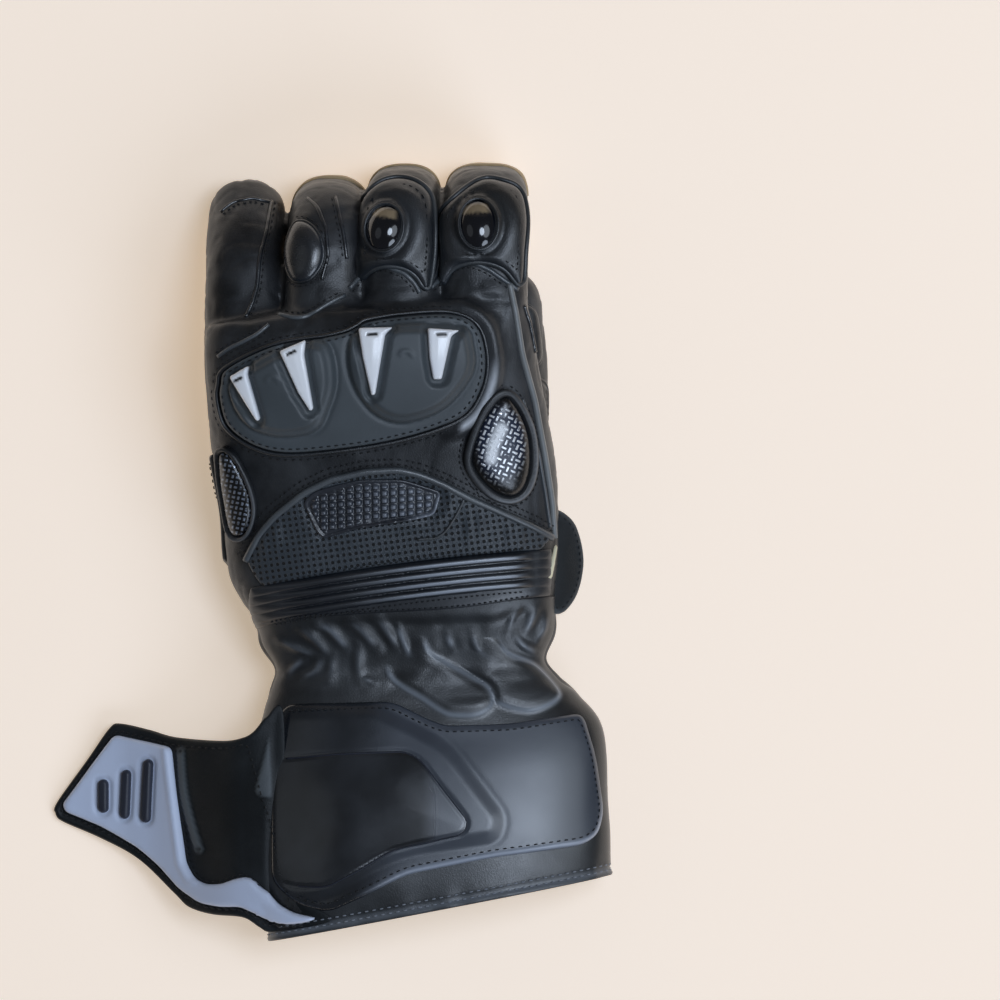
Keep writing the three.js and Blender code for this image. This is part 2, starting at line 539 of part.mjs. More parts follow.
function buildFlap() {
  const layer = (outline, from, to) => prism(outline).intersect(flapBelow(to)).subtract(flapBelow(from));
  pieces.closure_flap = layer(P(FLAP), 0, WALL);
  const guardFrom = WALL + GAP;
  const guardTo = guardFrom + MOULDED;
  pieces.flap_guard = layer(P(FLAP_GUARD), guardFrom, guardTo);
  BARS.forEach(({ x, y, half, lean }, i) => {
    pieces[`flap_bar_${i + 1}`] = layer(bar(x, y, 1.9, half, lean), guardTo + GAP, guardTo + 1.5);
  });
  pieces.flap_hook_pad = layer(rounded([[-88, -90], [-74, -70], [-60, -72], [-58, -98], [-76, -96]], 2), -1.2, -GAP)
    .intersect(prism(P([[-120, -40], [-30, -40], [-30, -140], [-120, -140]]), 0, ABOVE));
}

buildShells();
buildKnuckleGuard();
buildFingerPads();
buildSliders();
buildBackPanels();
buildPalm();
buildFingerStrips();
buildWristStrap();
buildCuffGuard();
buildFlap();

// Finishes, by the start of a piece's name
const finish = (color, roughness, metalness = 0) => new THREE.MeshStandardMaterial({ color, roughness, metalness });
const BLACK_LEATHER = [0x17171a, 0.5];
const FINISHES = {
  knuckle_guard: [0x26272b, 0.55],
  knuckle_insert: [0xc9ccd8, 0.25, 0.3],
  knuckle_cap: [0x050506, 0.06],
  thumb_side_slider: [0x55585f, 0.2, 0.4],
  edge_slider: [0x2c2e33, 0.3, 0.2],
  vent_scoop: [0x2a2b2f, 0.45],
  palm_panel: [0xd1ad74, 0.6],
  palm_strip: [0xd1ad74, 0.6],
  palm_grip: [0x1a1e26, 0.4],
  grip_: [0x1a1e26, 0.4],
  palm_slider: [0x141417, 0.35],
  wrist_loop_pad: [0x0d0d0e, 0.95],
  cuff_loop_pad: [0x0d0d0e, 0.95],
  flap_hook_pad: [0x0d0d0e, 0.95],
  cuff_guard: [0x1c1e23, 0.3],
  flap_guard: [0x7c8594, 0.5],
  flap_bar: [0x2e3036, 0.5],
};

const glove = new THREE.Group();
for (const [name, solid] of Object.entries(pieces)) {
  const { vertProperties, triVerts } = solid.getMesh();
  const geometry = new THREE.BufferGeometry();
  geometry.setAttribute('position', new THREE.BufferAttribute(new Float32Array(vertProperties), 3));
  geometry.setIndex(new THREE.BufferAttribute(new Uint32Array(triVerts), 1));
  geometry.computeVertexNormals();
  const key = Object.keys(FINISHES).find((start) => name.startsWith(start));
  const mesh = new THREE.Mesh(geometry, finish(...(FINISHES[key] ?? BLACK_LEATHER)));
  mesh.name = name;
  glove.add(mesh);
}

export default glove;
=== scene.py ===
# Left-hand leather riding gauntlet, palm down on the floor, with its cuff flap opened out to the left
import bpy
import math
import numpy as np
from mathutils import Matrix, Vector, geometry
from mathutils.bvhtree import BVHTree


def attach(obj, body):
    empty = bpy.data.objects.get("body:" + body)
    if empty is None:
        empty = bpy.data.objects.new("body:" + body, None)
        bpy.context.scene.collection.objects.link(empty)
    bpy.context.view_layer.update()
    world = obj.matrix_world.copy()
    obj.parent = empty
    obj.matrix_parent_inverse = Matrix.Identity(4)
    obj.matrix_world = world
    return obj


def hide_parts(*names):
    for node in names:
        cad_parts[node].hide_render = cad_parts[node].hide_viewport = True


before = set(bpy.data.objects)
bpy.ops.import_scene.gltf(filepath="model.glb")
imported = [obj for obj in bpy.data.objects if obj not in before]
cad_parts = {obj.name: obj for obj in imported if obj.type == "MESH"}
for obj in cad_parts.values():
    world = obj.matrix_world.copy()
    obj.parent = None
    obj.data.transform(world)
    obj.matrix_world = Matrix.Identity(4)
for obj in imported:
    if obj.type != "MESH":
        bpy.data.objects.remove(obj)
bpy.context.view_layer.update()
mm = 0.001  # shapes are worked out in millimetres, and meshes are written in metres
onFloor = 0.06  # nothing goes lower
print("frame loaded")

# Small maths


def smooth(x, low, high):  # 0 below low, 1 above high
    t = np.clip((x - low) / (high - low), 0, 1)
    return t * t * (3 - 2 * t)


def bell(x, width):
    return np.exp(-(x / width) ** 2)


def domed(d, radius):  # quarter-round edge: 0 at the edge, 1 from radius inwards
    t = np.clip(d / radius, 0, 1)
    return np.sqrt(np.clip(1 - (1 - t) ** 2, 0, 1))


def unit(rows):  # each row at length 1
    return rows / (np.linalg.norm(rows, axis=-1, keepdims=True) + 1e-9)


def hashed(cells, seed):
    n = cells[..., 0] * 73856093 ^ cells[..., 1] * 19349663 ^ cells[..., 2] * 83492791 ^ (seed * 2654435)
    n = ((n ^ (n >> 13)) * 1274126177) & 0x7FFFFFFF
    return ((n ^ (n >> 16)) & 0xFFFF) / 65535.0


def noise3(points, size, seed=0):  # smooth value noise, -1 to 1
    p = points / np.asarray(size, float)
    cell = np.floor(p).astype(np.int64)
    f = p - cell
    f = f * f * (3 - 2 * f)
    total = 0
    for corner in np.ndindex(2, 2, 2):
        weight = 1
        for k in range(3):
            weight = weight * (f[:, k] if corner[k] else 1 - f[:, k])
        total = total + weight * hashed(cell + np.array(corner), seed)
    return total * 2 - 1


def creases(points, size, seed=0):  # 0 on open leather, 1 in thin wandering lines
    warp = np.column_stack([noise3(points, 9, seed + k) for k in (1, 2, 3)])
    return smooth(1 - np.abs(noise3(points + warp * 2.5, size, seed)), 0.8, 1)


# Plan outlines, as arrays of points


def resample(points, step, closed=True):
    points = np.asarray(points, float)
    ring = np.vstack([points, points[:1]]) if closed else points
    run = np.concatenate([[0], np.cumsum(np.linalg.norm(np.diff(ring, axis=0), axis=1))])
    count = max(3, int(round(run[-1] / step)))
    at = np.linspace(0, run[-1], count + 1)
    if closed:
        at = at[:-1]
    return np.column_stack([np.interp(at, run, ring[:, k]) for k in range(ring.shape[1])])


def spline(a, b, c, d, f):  # the smooth way from b to c, with a before them and d after
    bend = (2 * a - 5 * b + 4 * c - d) * f * f + (3 * b - a - 3 * c + d) * f ** 3
    return 0.5 * (2 * b + (c - a) * f + bend)


def curve(points, step=1.0, closed=True):  # smooth line through the points
    p = np.asarray(points, float)
    n = len(p)
    out = []
    for i in range(n if closed else n - 1):
        around = [p[k % n] if closed else p[min(max(k, 0), n - 1)] for k in range(i - 1, i + 3)]
        out += [spline(*around, f) for f in np.arange(0, 1, 0.125)]
    if not closed:
        out.append(p[-1])
    return resample(out, step, closed)


def cornered(points, radius, step=1.0):  # straight sides with rounded corners
    p = np.asarray(points, float)
    out = []
    for i, b in enumerate(p):
        a, c = p[i - 1], p[(i + 1) % len(p)]
        before, after = np.linalg.norm(a - b), np.linalg.norm(c - b)
        r = min(radius, before * 0.48, after * 0.48)
        start, end = b + (a - b) / before * r, b + (c - b) / after * r
        out += [start * (1 - f) ** 2 + 2 * b * f * (1 - f) + end * f * f for f in np.linspace(0, 1, 7)]
    return resample(out, step)


def oval(x, y, rx, ry, lean=0, step=1.0):
    turn = math.radians(lean)
    a = np.linspace(0, 2 * math.pi, 48, endpoint=False)
    u, v = rx * np.cos(a), ry * np.sin(a)
    across = x + u * math.cos(turn) + v * math.sin(turn)
    along = y - u * math.sin(turn) + v * math.cos(turn)
    return resample(np.column_stack([across, along]), step)


def capsule(x, y, half, lean, radius, step=0.5):  # a bar with round ends
    turn = math.radians(lean)
    ahead, side = np.array([math.sin(turn), math.cos(turn)]), np.array([math.cos(turn), -math.sin(turn)])
    a = np.linspace(0, math.pi, 12)
    cap = side * np.cos(a)[:, None] * radius + ahead * (np.sin(a)[:, None] * radius + half - radius)
    return resample(np.vstack([cap, -cap]) + (x, y), step)


def toLine(points, line, closed=True):  # distance to a line
    a = np.asarray(line, float)
    b = np.roll(a, -1, axis=0)
    if not closed:
        a, b = a[:-1], b[:-1]
    ab = b - a
    size = (ab ** 2).sum(1) + 1e-12
    best = np.full(len(points), 1e9)
    for s in range(0, len(points), 4000):
        p = points[s:s + 4000, None, :]
        f = np.clip(((p - a) * ab).sum(2) / size, 0, 1)
        best[s:s + 4000] = np.linalg.norm(p - (a + ab * f[..., None]), axis=2).min(1)
    return best


def toEnds(points, line):  # distance to the nearer end of a line
    return np.minimum(*[np.linalg.norm(points - end, axis=1) for end in (line[0], line[-1])])


def inside(points, loop):
    loop = np.asarray(loop, float)
    x, y = points[:, 0], points[:, 1]
    hit = np.zeros(len(points), bool)
    for (ax, ay), (bx, by) in zip(loop, np.roll(loop, -1, axis=0)):
        crosses = (ay > y) != (by > y)
        hit ^= crosses & (x < ax + (y - ay) * (bx - ax) / (by - ay + 1e-12))
    return hit


def within(points, loop):  # distance inside a loop, negative outside
    d = toLine(points, loop)
    return np.where(inside(points, loop), d, -d)


def areaOf(loop):
    x, y = loop[:, 0], loop[:, 1]
    return 0.5 * np.sum(x * np.roll(y, -1) - np.roll(x, -1) * y)


def inset(loop, by):  # a loop moved inwards, or outwards where by is negative
    loop = np.asarray(loop, float)
    ahead = unit(np.roll(loop, -1, axis=0) - np.roll(loop, 1, axis=0))
    inward = np.column_stack([-ahead[:, 1], ahead[:, 0]]) * (1 if areaOf(loop) > 0 else -1)
    moved = loop + inward * by
    return moved[toLine(moved, loop) > abs(by) * 0.93]


# The glove's own surfaces


def table(columns, rows):
    return [dict(zip(columns.split(), row)) for row in rows]


def throughRows(values, t):  # the rows of a table, run through smoothly
    n = len(values)
    t = np.clip(t, 0, n - 1 - 1e-9)
    i = t.astype(int)
    return spline(*[values[np.clip(i + k, 0, n - 1)] for k in (-1, 0, 1, 2)], (t - i)[:, None])


class Tube:  # a run of sections; t counts them, and the last unit of t is the rounded tip
    def __init__(self, sections, square, tip):
        keys = ("centre", "side", "up", "half", "thick")
        columns = [np.array([section[key] for section in sections], float) for key in keys]
        self.rows = np.hstack([c.reshape(len(sections), -1) for c in columns])
        self.last = len(sections) - 1
        self.square = square
        self.tip = tip
        t = np.linspace(0, self.last, 40 * self.last + 1)
        run = np.cumsum(np.linalg.norm(np.diff(throughRows(self.rows, t)[:, :3], axis=0), axis=1))
        cap = np.linspace(0, 1, 41)[1:]
        self.tTable = np.concatenate([t, self.last + cap])
        self.vTable = np.concatenate([[0], run, run[-1] + cap * tip * 1.4])
        self.length, self.end = run[-1], self.vTable[-1]
        self.angles = np.linspace(-math.pi, math.pi, 721)
        x, y = self.ring(self.angles, self.rows[:, 9].mean(), self.rows[:, 10].mean())
        self.arcs = np.concatenate([[0], np.cumsum(np.hypot(np.diff(x), np.diff(y)))])
        self.girth = self.arcs[-1]

    def ring(self, angle, half, thick):
        c, s = np.cos(angle), np.sin(angle)
        radius = (np.abs(c) ** self.square + np.abs(s) ** self.square) ** (-1 / self.square)
        return half * c * radius, thick * s * radius

    def point(self, t, angle, off=0):
        t = np.asarray(t, float)
        row = throughRows(self.rows, np.minimum(t, self.last))
        side, up = unit(row[:, 3:6]), unit(row[:, 6:9])
        cap = np.clip(t - self.last, 0, 1) * math.pi / 2
        scale = np.cos(cap) ** 0.95
        x, y = self.ring(angle, (row[:, 9] + off) * scale, (row[:, 10] + off) * scale)
        shift = (self.tip + off) * np.sin(cap)
        return row[:, :3] + side * x[:, None] + up * y[:, None] + np.cross(up, side) * shift[:, None]

    def normal(self, t, angle):
        t = np.minimum(t, self.last + 0.98)
        around = self.point(t, angle + 0.01) - self.point(t, angle - 0.01)
        along = self.point(t + 0.005, angle) - self.point(t - 0.005, angle)
        n = unit(np.cross(along, around))
        centre = throughRows(self.rows, np.minimum(t, self.last))[:, :3]
        n[((self.point(t, angle) - centre) * n).sum(1) < 0] *= -1
        return n


class Skin:  # one side of a tube as a flat sheet: a runs round it from its middle line, and v runs along it
    def __init__(self, tube, middle=90):
        self.tube = tube
        self.top = middle > 0
        self.zero = np.interp(math.radians(middle), tube.angles, tube.arcs)

    def split(self, domain):
        t = np.interp(domain[:, 1], self.tube.vTable, self.tube.tTable)
        arc = (self.zero + (-domain[:, 0] if self.top else domain[:, 0])) % self.tube.girth
        return t, np.interp(arc, self.tube.arcs, self.tube.angles)

    def at(self, domain):
        return self.tube.point(*self.split(domain))

    def normal(self, domain):
        return self.tube.normal(*self.split(domain))

    def lifted(self, domain, lift):
        return self.at(domain) + self.normal(domain) * lift

    def fromPlan(self, plan, lift=0.0):  # the places on this side that show above the plan's points
        plan = np.asarray(plan, float)
        reach = self.tube.girth * 0.3
        a, v = np.meshgrid(np.arange(-reach, reach, 1.5), np.arange(0, self.tube.end, 1.5))
        grid = np.column_stack([a.ravel(), v.ravel()])
        z = self.normal(grid)[:, 2]
        grid = grid[(z if self.top else -z) > 0.02]
        spots = self.lifted(grid, lift)[:, :2]
        best = np.array([grid[((spots - p) ** 2).sum(1).argmin()] for p in plan])
        near = np.array([(i, j) for i in range(-2, 3) for j in range(-2, 3)], float)
        for step in (0.6, 0.25, 0.1, 0.04):
            tries = best[:, None, :] + near * step
            spots = self.lifted(tries.reshape(-1, 2), lift)[:, :2].reshape(len(plan), -1, 2)
            best = tries[np.arange(len(plan)), ((spots - plan[:, None]) ** 2).sum(2).argmin(1)]
        return best


class Sheet:  # a surface given by its height over the floor
    def __init__(self, height):
        self.height = height

    def at(self, domain):
        return np.column_stack([domain, self.height(domain)])

    def normal(self, domain):
        dx = self.height(domain + (0.3, 0)) - self.height(domain - (0.3, 0))
        dy = self.height(domain + (0, 0.3)) - self.height(domain - (0, 0.3))
        return unit(np.column_stack([-dx / 0.6, -dy / 0.6, np.ones(len(domain))]))

    def fromPlan(self, plan, lift=0.0):
        return np.asarray(plan, float)


# Sections from the cuff's mouth to the knuckles, in millimetres and degrees
sleeveRows = table("x y half low high turn", [
    (37.6, -123.6, 60.4, 2.3, 45, 10.9), (33.4, -100, 62.8, 2.3, 44, 9.5), (32.6, -80, 62.6, 2.3, 41.5, 7.5),
    (32.4, -64, 59.9, 2.6, 38.2, 5), (30.8, -51.4, 54.0, 3.2, 35.5, 2.2), (28.8, -45.4, 49.4, 3.1, 34.5, 1.5),
    (26.9, -39.4, 46.7, 3.1, 34.2, 2), (26.2, -30.8, 50.6, 3.1, 36.5, 2.6), (25.2, -21.4, 52.1, 3.4, 41, 4),
    (21.4, -3.3, 57.0, 5.6, 46, 5.5), (20.0, 19.1, 58.0, 7.5, 52, 5), (16.7, 40.9, 58.4, 13, 58, 4.5),
    (14.0, 61.6, 57.4, 22, 62.5, 4.5), (12.6, 74.5, 56.4, 26.4, 62.5, 4.5), (12, 80.5, 55, 29, 60.5, 4.5)])
handStart, handTip = 8, 5  # the row where the hand begins, and the roundness of its front


def sleeveSection(row):
    turn = math.radians(row["turn"])
    middle = (row["low"] + row["high"]) / 2
    return dict(centre=(row["x"], row["y"], middle), side=(math.cos(turn), math.sin(turn), 0), up=(0, 0, 1),
                half=row["half"], thick=row["high"] - middle)


fingerRows = table("name x tipX y z half thick pitch first radius bend last square", [
    ("index", 52.0, 53.4, 68, 45.5, 15.3, 12.4, -4, 38.0, 15, 79, 15.4, 2.9),
    ("middle", 23.9, 24.9, 70, 46.0, 13.6, 12.4, -4, 36.0, 15, 80, 16.4, 2.7),
    ("ring", -2.3, -0.6, 64, 45.5, 14.4, 12.2, -5, 37.6, 15.5, 76, 14.8, 2.3),
    ("little", -28.8, -29.7, 58, 41.5, 14.8, 12, -14, 34, 38, 34, 10.6, 2.1)])
fingerTip = 12.5


def fingerSections(row):  # straight, then bent, then straight to the tip
    bend = math.radians(row["bend"])
    length = row["first"] + row["radius"] * bend + row["last"]
    spans = [0] + [row["first"] / 4] * 4 + [row["radius"] * bend / 8] * 8 + [row["last"] / 3] * 3
    y, z, pitch, gone, out = row["y"], row["z"], math.radians(row["pitch"]), 0, []
    for i, span in enumerate(spans):
        turning = bend / 16 if 5 <= i <= 12 else 0
        pitch -= turning
        y += span * math.cos(pitch)
        z += span * math.sin(pitch)
        gone += span
        pitch -= turning
        share = gone / length
        out.append(dict(centre=(row["x"] + (row["tipX"] - row["x"]) * share, y, z), side=(1, 0, 0),
                        up=(0, -math.sin(pitch), math.cos(pitch)), half=row["half"] * (1 - 0.08 * share ** 2),
                        thick=row["thick"]))
    return out


thumbRows = table("x y z half thick", [
    (50, -5, 25, 14, 12), (57, 17, 20, 14, 12.5), (61, 40, 16, 13, 12.5), (62, 62, 13.9, 12.8, 12),
    (60.6, 84, 13.0, 12.2, 11.4)])
thumbTip = 14


def thumbSections():
    spots = [np.array([r["x"], r["y"], r["z"]], float) for r in thumbRows]
    out = []
    for i, row in enumerate(thumbRows):
        ahead = spots[min(i + 1, len(spots) - 1)] - spots[max(i - 1, 0)]
        side = unit(np.cross(ahead, (0, 0, 1)))
        up = np.cross(side, unit(ahead))
        out.append(dict(centre=spots[i], side=side, up=up, half=row["half"], thick=row["thick"]))
    return out


sleeve = Tube([sleeveSection(r) for r in sleeveRows], 2.6, handTip)
fingers = {r["name"]: Tube(fingerSections(r), r["square"], fingerTip) for r in fingerRows}
thumb = Tube(thumbSections(), 2.2, thumbTip)
back, palm = Skin(sleeve), Skin(sleeve, -90)
fingerBack = {name: Skin(tube) for name, tube in fingers.items()}
fingerPalm = {name: Skin(tube, -90) for name, tube in fingers.items()}

# Meshes


def makePiece(name, verts, faces, finish, attributes=None):
    mesh = bpy.data.meshes.new(name)
    mesh.from_pydata((np.asarray(verts) * mm).tolist(), [], [tuple(int(i) for i in f) for f in faces])
    mesh.validate()
    mesh.polygons.foreach_set("use_smooth", [True] * len(mesh.polygons))
    for key, values in (attributes or {}).items():
        mesh.attributes.new(key, "FLOAT", "POINT").data.foreach_set("value", np.asarray(values, np.float32))
    mesh.materials.append(finish)
    piece = bpy.data.objects.new(name, mesh)
    bpy.context.collection.objects.link(piece)
    return piece


slotOf = {}  # the record's material slot of each finish


def place(piece, *nodes, slot=None):  # the piece rides with the glove and stands for these CAD nodes
    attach(piece, "root")
    slot or slotOf[piece.data.materials[0].name]
    if nodes:
        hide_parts(*nodes)
    return piece


def addPiece(name, verts, faces, finish, *nodes, attributes=None, slot=None):
    return place(makePiece(name, verts, faces, finish, attributes), *nodes, slot=slot)


def ringFaces(rows, count, start=0, flip=False):
    faces = []
    for r in range(rows - 1):
        low, high = start + r * count, start + (r + 1) * count
        for i in range(count):
            j = (i + 1) % count
            quad = [low + i, low + j, high + j, high + i]
            faces.append(quad[::-1] if flip else quad)
    return faces


def closedRings(rows, count):  # the faces of stacked rings, and of a point for each end that comes after them
    n = rows * count
    low = [(n, (i + 1) % count, i) for i in range(count)]
    high = [(n + 1, n - count + i, n - count + (i + 1) % count) for i in range(count)]
    return ringFaces(rows, count) + low + high


def rings(tube, t, count, off=0):
    angle = np.linspace(-math.pi, math.pi, count, endpoint=False)
    tt, aa = np.meshgrid(t, angle, indexing="ij")
    return tube.point(tt.ravel(), aa.ravel(), off), tt.ravel(), aa.ravel()


def closedTube(tube, t, count, off=0):  # a solid length of a tube, with its tip
    points = rings(tube, t, count, off)[0]
    tip = tube.point(np.array([tube.last + 1.0]), np.array([0.0]), off)
    return np.vstack([points, points[:count].mean(0), tip]), closedRings(len(t), count)


def join(parts):
    verts, faces, start = [], [], 0
    for v, f in parts:
        verts.append(np.asarray(v))
        faces += [[i + start for i in face] for face in f]
        start += len(v)
    return np.vstack(verts), faces


def modify(piece, kind, **settings):  # adds a modifier and bakes it into the mesh
    modifier = piece.modifiers.new(kind.lower(), kind)
    for key, value in settings.items():
        setattr(modifier, key, value)
    depsgraph = bpy.context.evaluated_depsgraph_get()
    mesh = bpy.data.meshes.new_from_object(piece.evaluated_get(depsgraph))
    piece.modifiers.clear()
    piece.data = mesh
    return piece


def vectors(piece, key):
    out = np.empty(len(piece.data.vertices) * 3)
    piece.data.vertices.foreach_get(key, out)
    return out.reshape(-1, 3)


def filled(loop, spacing, edgeRows=()):  # triangles inside a loop, and where the loop's own points went
    low, high = loop.min(0), loop.max(0)
    rows = []
    for k, y in enumerate(np.arange(low[1], high[1], spacing * 0.87)):
        x = np.arange(low[0] + (spacing / 2 if k % 2 else 0), high[0], spacing)
        rows.append(np.column_stack([x, np.full(len(x), y)]))
    grid = np.vstack(rows)
    deepest = edgeRows[-1] if edgeRows else 0
    grid = grid[within(grid, loop) > deepest + spacing * 0.55]
    bands = [inset(loop, d) for d in edgeRows]
    points = np.vstack([loop, *bands, grid])
    edges = [(i, (i + 1) % len(loop)) for i in range(len(loop))]
    made = geometry.delaunay_2d_cdt([Vector(p) for p in points.tolist()], edges, [], 1, 1e-5)
    where = {s: i for i, sources in enumerate(made[3]) for s in sources}
    verts = np.array([tuple(v) for v in made[0]])
    f = np.array(made[2])
    u, w = verts[f[:, 1]] - verts[f[:, 0]], verts[f[:, 2]] - verts[f[:, 0]]
    back = u[:, 0] * w[:, 1] - u[:, 1] * w[:, 0] < 0
    f[back] = f[back][:, ::-1]
    return verts, f.tolist(), [where[i] for i in range(len(loop))]


def patch(name, skin, plan, height, finish, *nodes, domain=None, lift=0.0, spacing=1.2, floor=-0.6,
          edgeRows=(0.35, 0.9), marks=None):  # a raised panel on a surface, closed underneath
    loop = resample(skin.fromPlan(plan, lift) if domain is None else domain, spacing)
    if areaOf(loop) < 0:
        loop = loop[::-1]
    domain, faces, rim = filled(loop, spacing, edgeRows)
    base, n = skin.at(domain), skin.normal(domain)
    spot = dict(plan=(base + n * lift)[:, :2], base=base, n=n, domain=domain, edge=toLine(domain, loop))
    top = base + n * height(spot)[:, None]
    rim = np.array(rim)
    under = base[rim] + n[rim] * floor
    for points in (top, under):
        points[:, 2] = np.maximum(points[:, 2], onFloor)
    _, underFaces, underRim = filled(loop, 1e6)
    count = len(top)
    around = np.roll(np.arange(len(rim)), -1)
    faces = faces + [[rim[i], count + i, count + j, rim[j]] for i, j in enumerate(around)]
    where = {v: count + i for i, v in enumerate(underRim)}
    faces += [[where[i] for i in f[::-1]] for f in underFaces]
    a, b, c = [top[i] for i in faces[0]]
    if np.dot(np.cross(b - a, c - a), n[faces[0][0]]) < 0:
        faces = [f[::-1] for f in faces]
    attributes = {"wear_and_painted_light": np.concatenate([np.exp(-spot["edge"] / 0.8), np.ones(len(rim))])}  # edges: wear on most finishes and painted edge shade on the silver inserts; marks given to a piece replace it with painted highlights
    for key, rule in (marks or {}).items():
        attributes[key] = np.concatenate([rule(spot), np.zeros(len(rim))])
    return addPiece(name, np.vstack([top, under]), faces, finish, *nodes, attributes=attributes)


def level(height, edge=1.0, start=0.15):  # a height with a rounded edge
    return lambda spot: height * (start + (1 - start) * domed(spot["edge"], edge))


def softLevel(height, edge, size, depth, seed):  # the same with gentle swells
    def rule(spot):
        swell = noise3(spot["base"], size, seed) * depth * smooth(spot["edge"], 0, 3)
        return level(height, edge)(spot) + swell
    return rule


def tubeMesh(points, ups, radius, sides=8, closed=False):
    points = np.asarray(points, float)
    ahead = unit(np.roll(points, -1, 0) - np.roll(points, 1, 0) if closed else np.gradient(points, axis=0))
    side = unit(np.cross(ahead, ups))
    up = np.cross(side, ahead)
    angle = np.linspace(0, 2 * math.pi, sides, endpoint=False)
    r = np.broadcast_to(radius, len(points))[:, None, None]
    ring = side[:, None] * np.cos(angle)[None, :, None] + up[:, None] * np.sin(angle)[None, :, None]
    verts = (points[:, None] + ring * r).reshape(-1, 3)
    verts[:, 2] = np.maximum(verts[:, 2], onFloor)
    faces = ringFaces(len(points), sides)
    last = (len(points) - 1) * sides
    if closed:
        faces += [[last + i, last + (i + 1) % sides, (i + 1) % sides, i] for i in range(sides)]
    else:
        faces += [list(range(sides))[::-1], list(range(last, last + sides))]
    return verts, faces


def onSkin(skin, plan, step, lift=0, aside=0, closed=False, domain=None):  # a line on a skin, and its normals
    line = skin.fromPlan(resample(plan, 3, closed), lift) if domain is None else np.asarray(domain, float)
    line = curve(line, step, closed)
    if aside:
        ahead = unit(np.gradient(line, axis=0))
        line = line + np.column_stack([-ahead[:, 1], ahead[:, 0]]) * aside
    return skin.at(line) + skin.normal(line) * lift, skin.normal(line)


def cord(name, skin, plan, radius, finish, *nodes, lift=0.0, closed=False, domain=None):
    points, ups = onSkin(skin, plan, 0.9, lift, 0, closed, domain)
    return addPiece(name, *tubeMesh(points, ups, radius, 8, closed), finish, *nodes)


threads = {}  # stitches waiting to be made, by thread
stitchLook = dict(steps=8, long=0.62, thick=0.24,  # along and fat give the thickness along one stitch
                  along=(0, 0.1, 0.3, 0.7, 0.9, 1), fat=(0.35, 0.8, 1, 1, 0.8, 0.35))


def stitch(thread, skin, plan, pitch=2.3, lift=0.15, aside=0, closed=False, domain=None, steep=0.0):
    steps, long = stitchLook["steps"], stitchLook["long"]
    points, ups = onSkin(skin, plan, pitch / steps, lift, aside, closed, domain)
    for i in range(0, len(points) - steps, steps):
        start, end = points[i], points[i + int(steps * long)]
        even = 0.45 < np.linalg.norm(end - start) / (pitch * long) < 1.8
        if even and abs(ups[i][2]) >= steep:  # leaves out stitches that fall off an edge
            threads.setdefault(thread, []).append((start, end, ups[i]))


def sewAll(name, finish):  # every stitch of one thread as one mesh
    along, fat = np.array(stitchLook["along"]), np.array(stitchLook["fat"])
    parts = []
    for start, end, up in threads[name]:
        arch = np.sin(along * math.pi)[:, None] * up * stitchLook["thick"] * 0.5
        line = start + (end - start) * along[:, None] + arch
        parts.append(tubeMesh(line, np.tile(up, (len(along), 1)), stitchLook["thick"] * fat, 6))
    return addPiece(f"stitches_{name}", *join(parts), finish)


print("tools ready")

# Materials


class Value:  # a node's socket, which adds Math nodes when it is used in a sum
    def __init__(self, board, socket):
        self.board = board
        self.socket = socket


def mathOperator(operation, reflected):
    def method(self, other):
        first, second = (other, self) if reflected else (self, other)
        return self.board.math(operation, first, second)
    return method


for sign, operation in dict(add="ADD", sub="SUBTRACT", mul="MULTIPLY").items():
    setattr(Value, f"__{sign}__", mathOperator(operation, False))
    setattr(Value, f"__r{sign}__", mathOperator(operation, True))


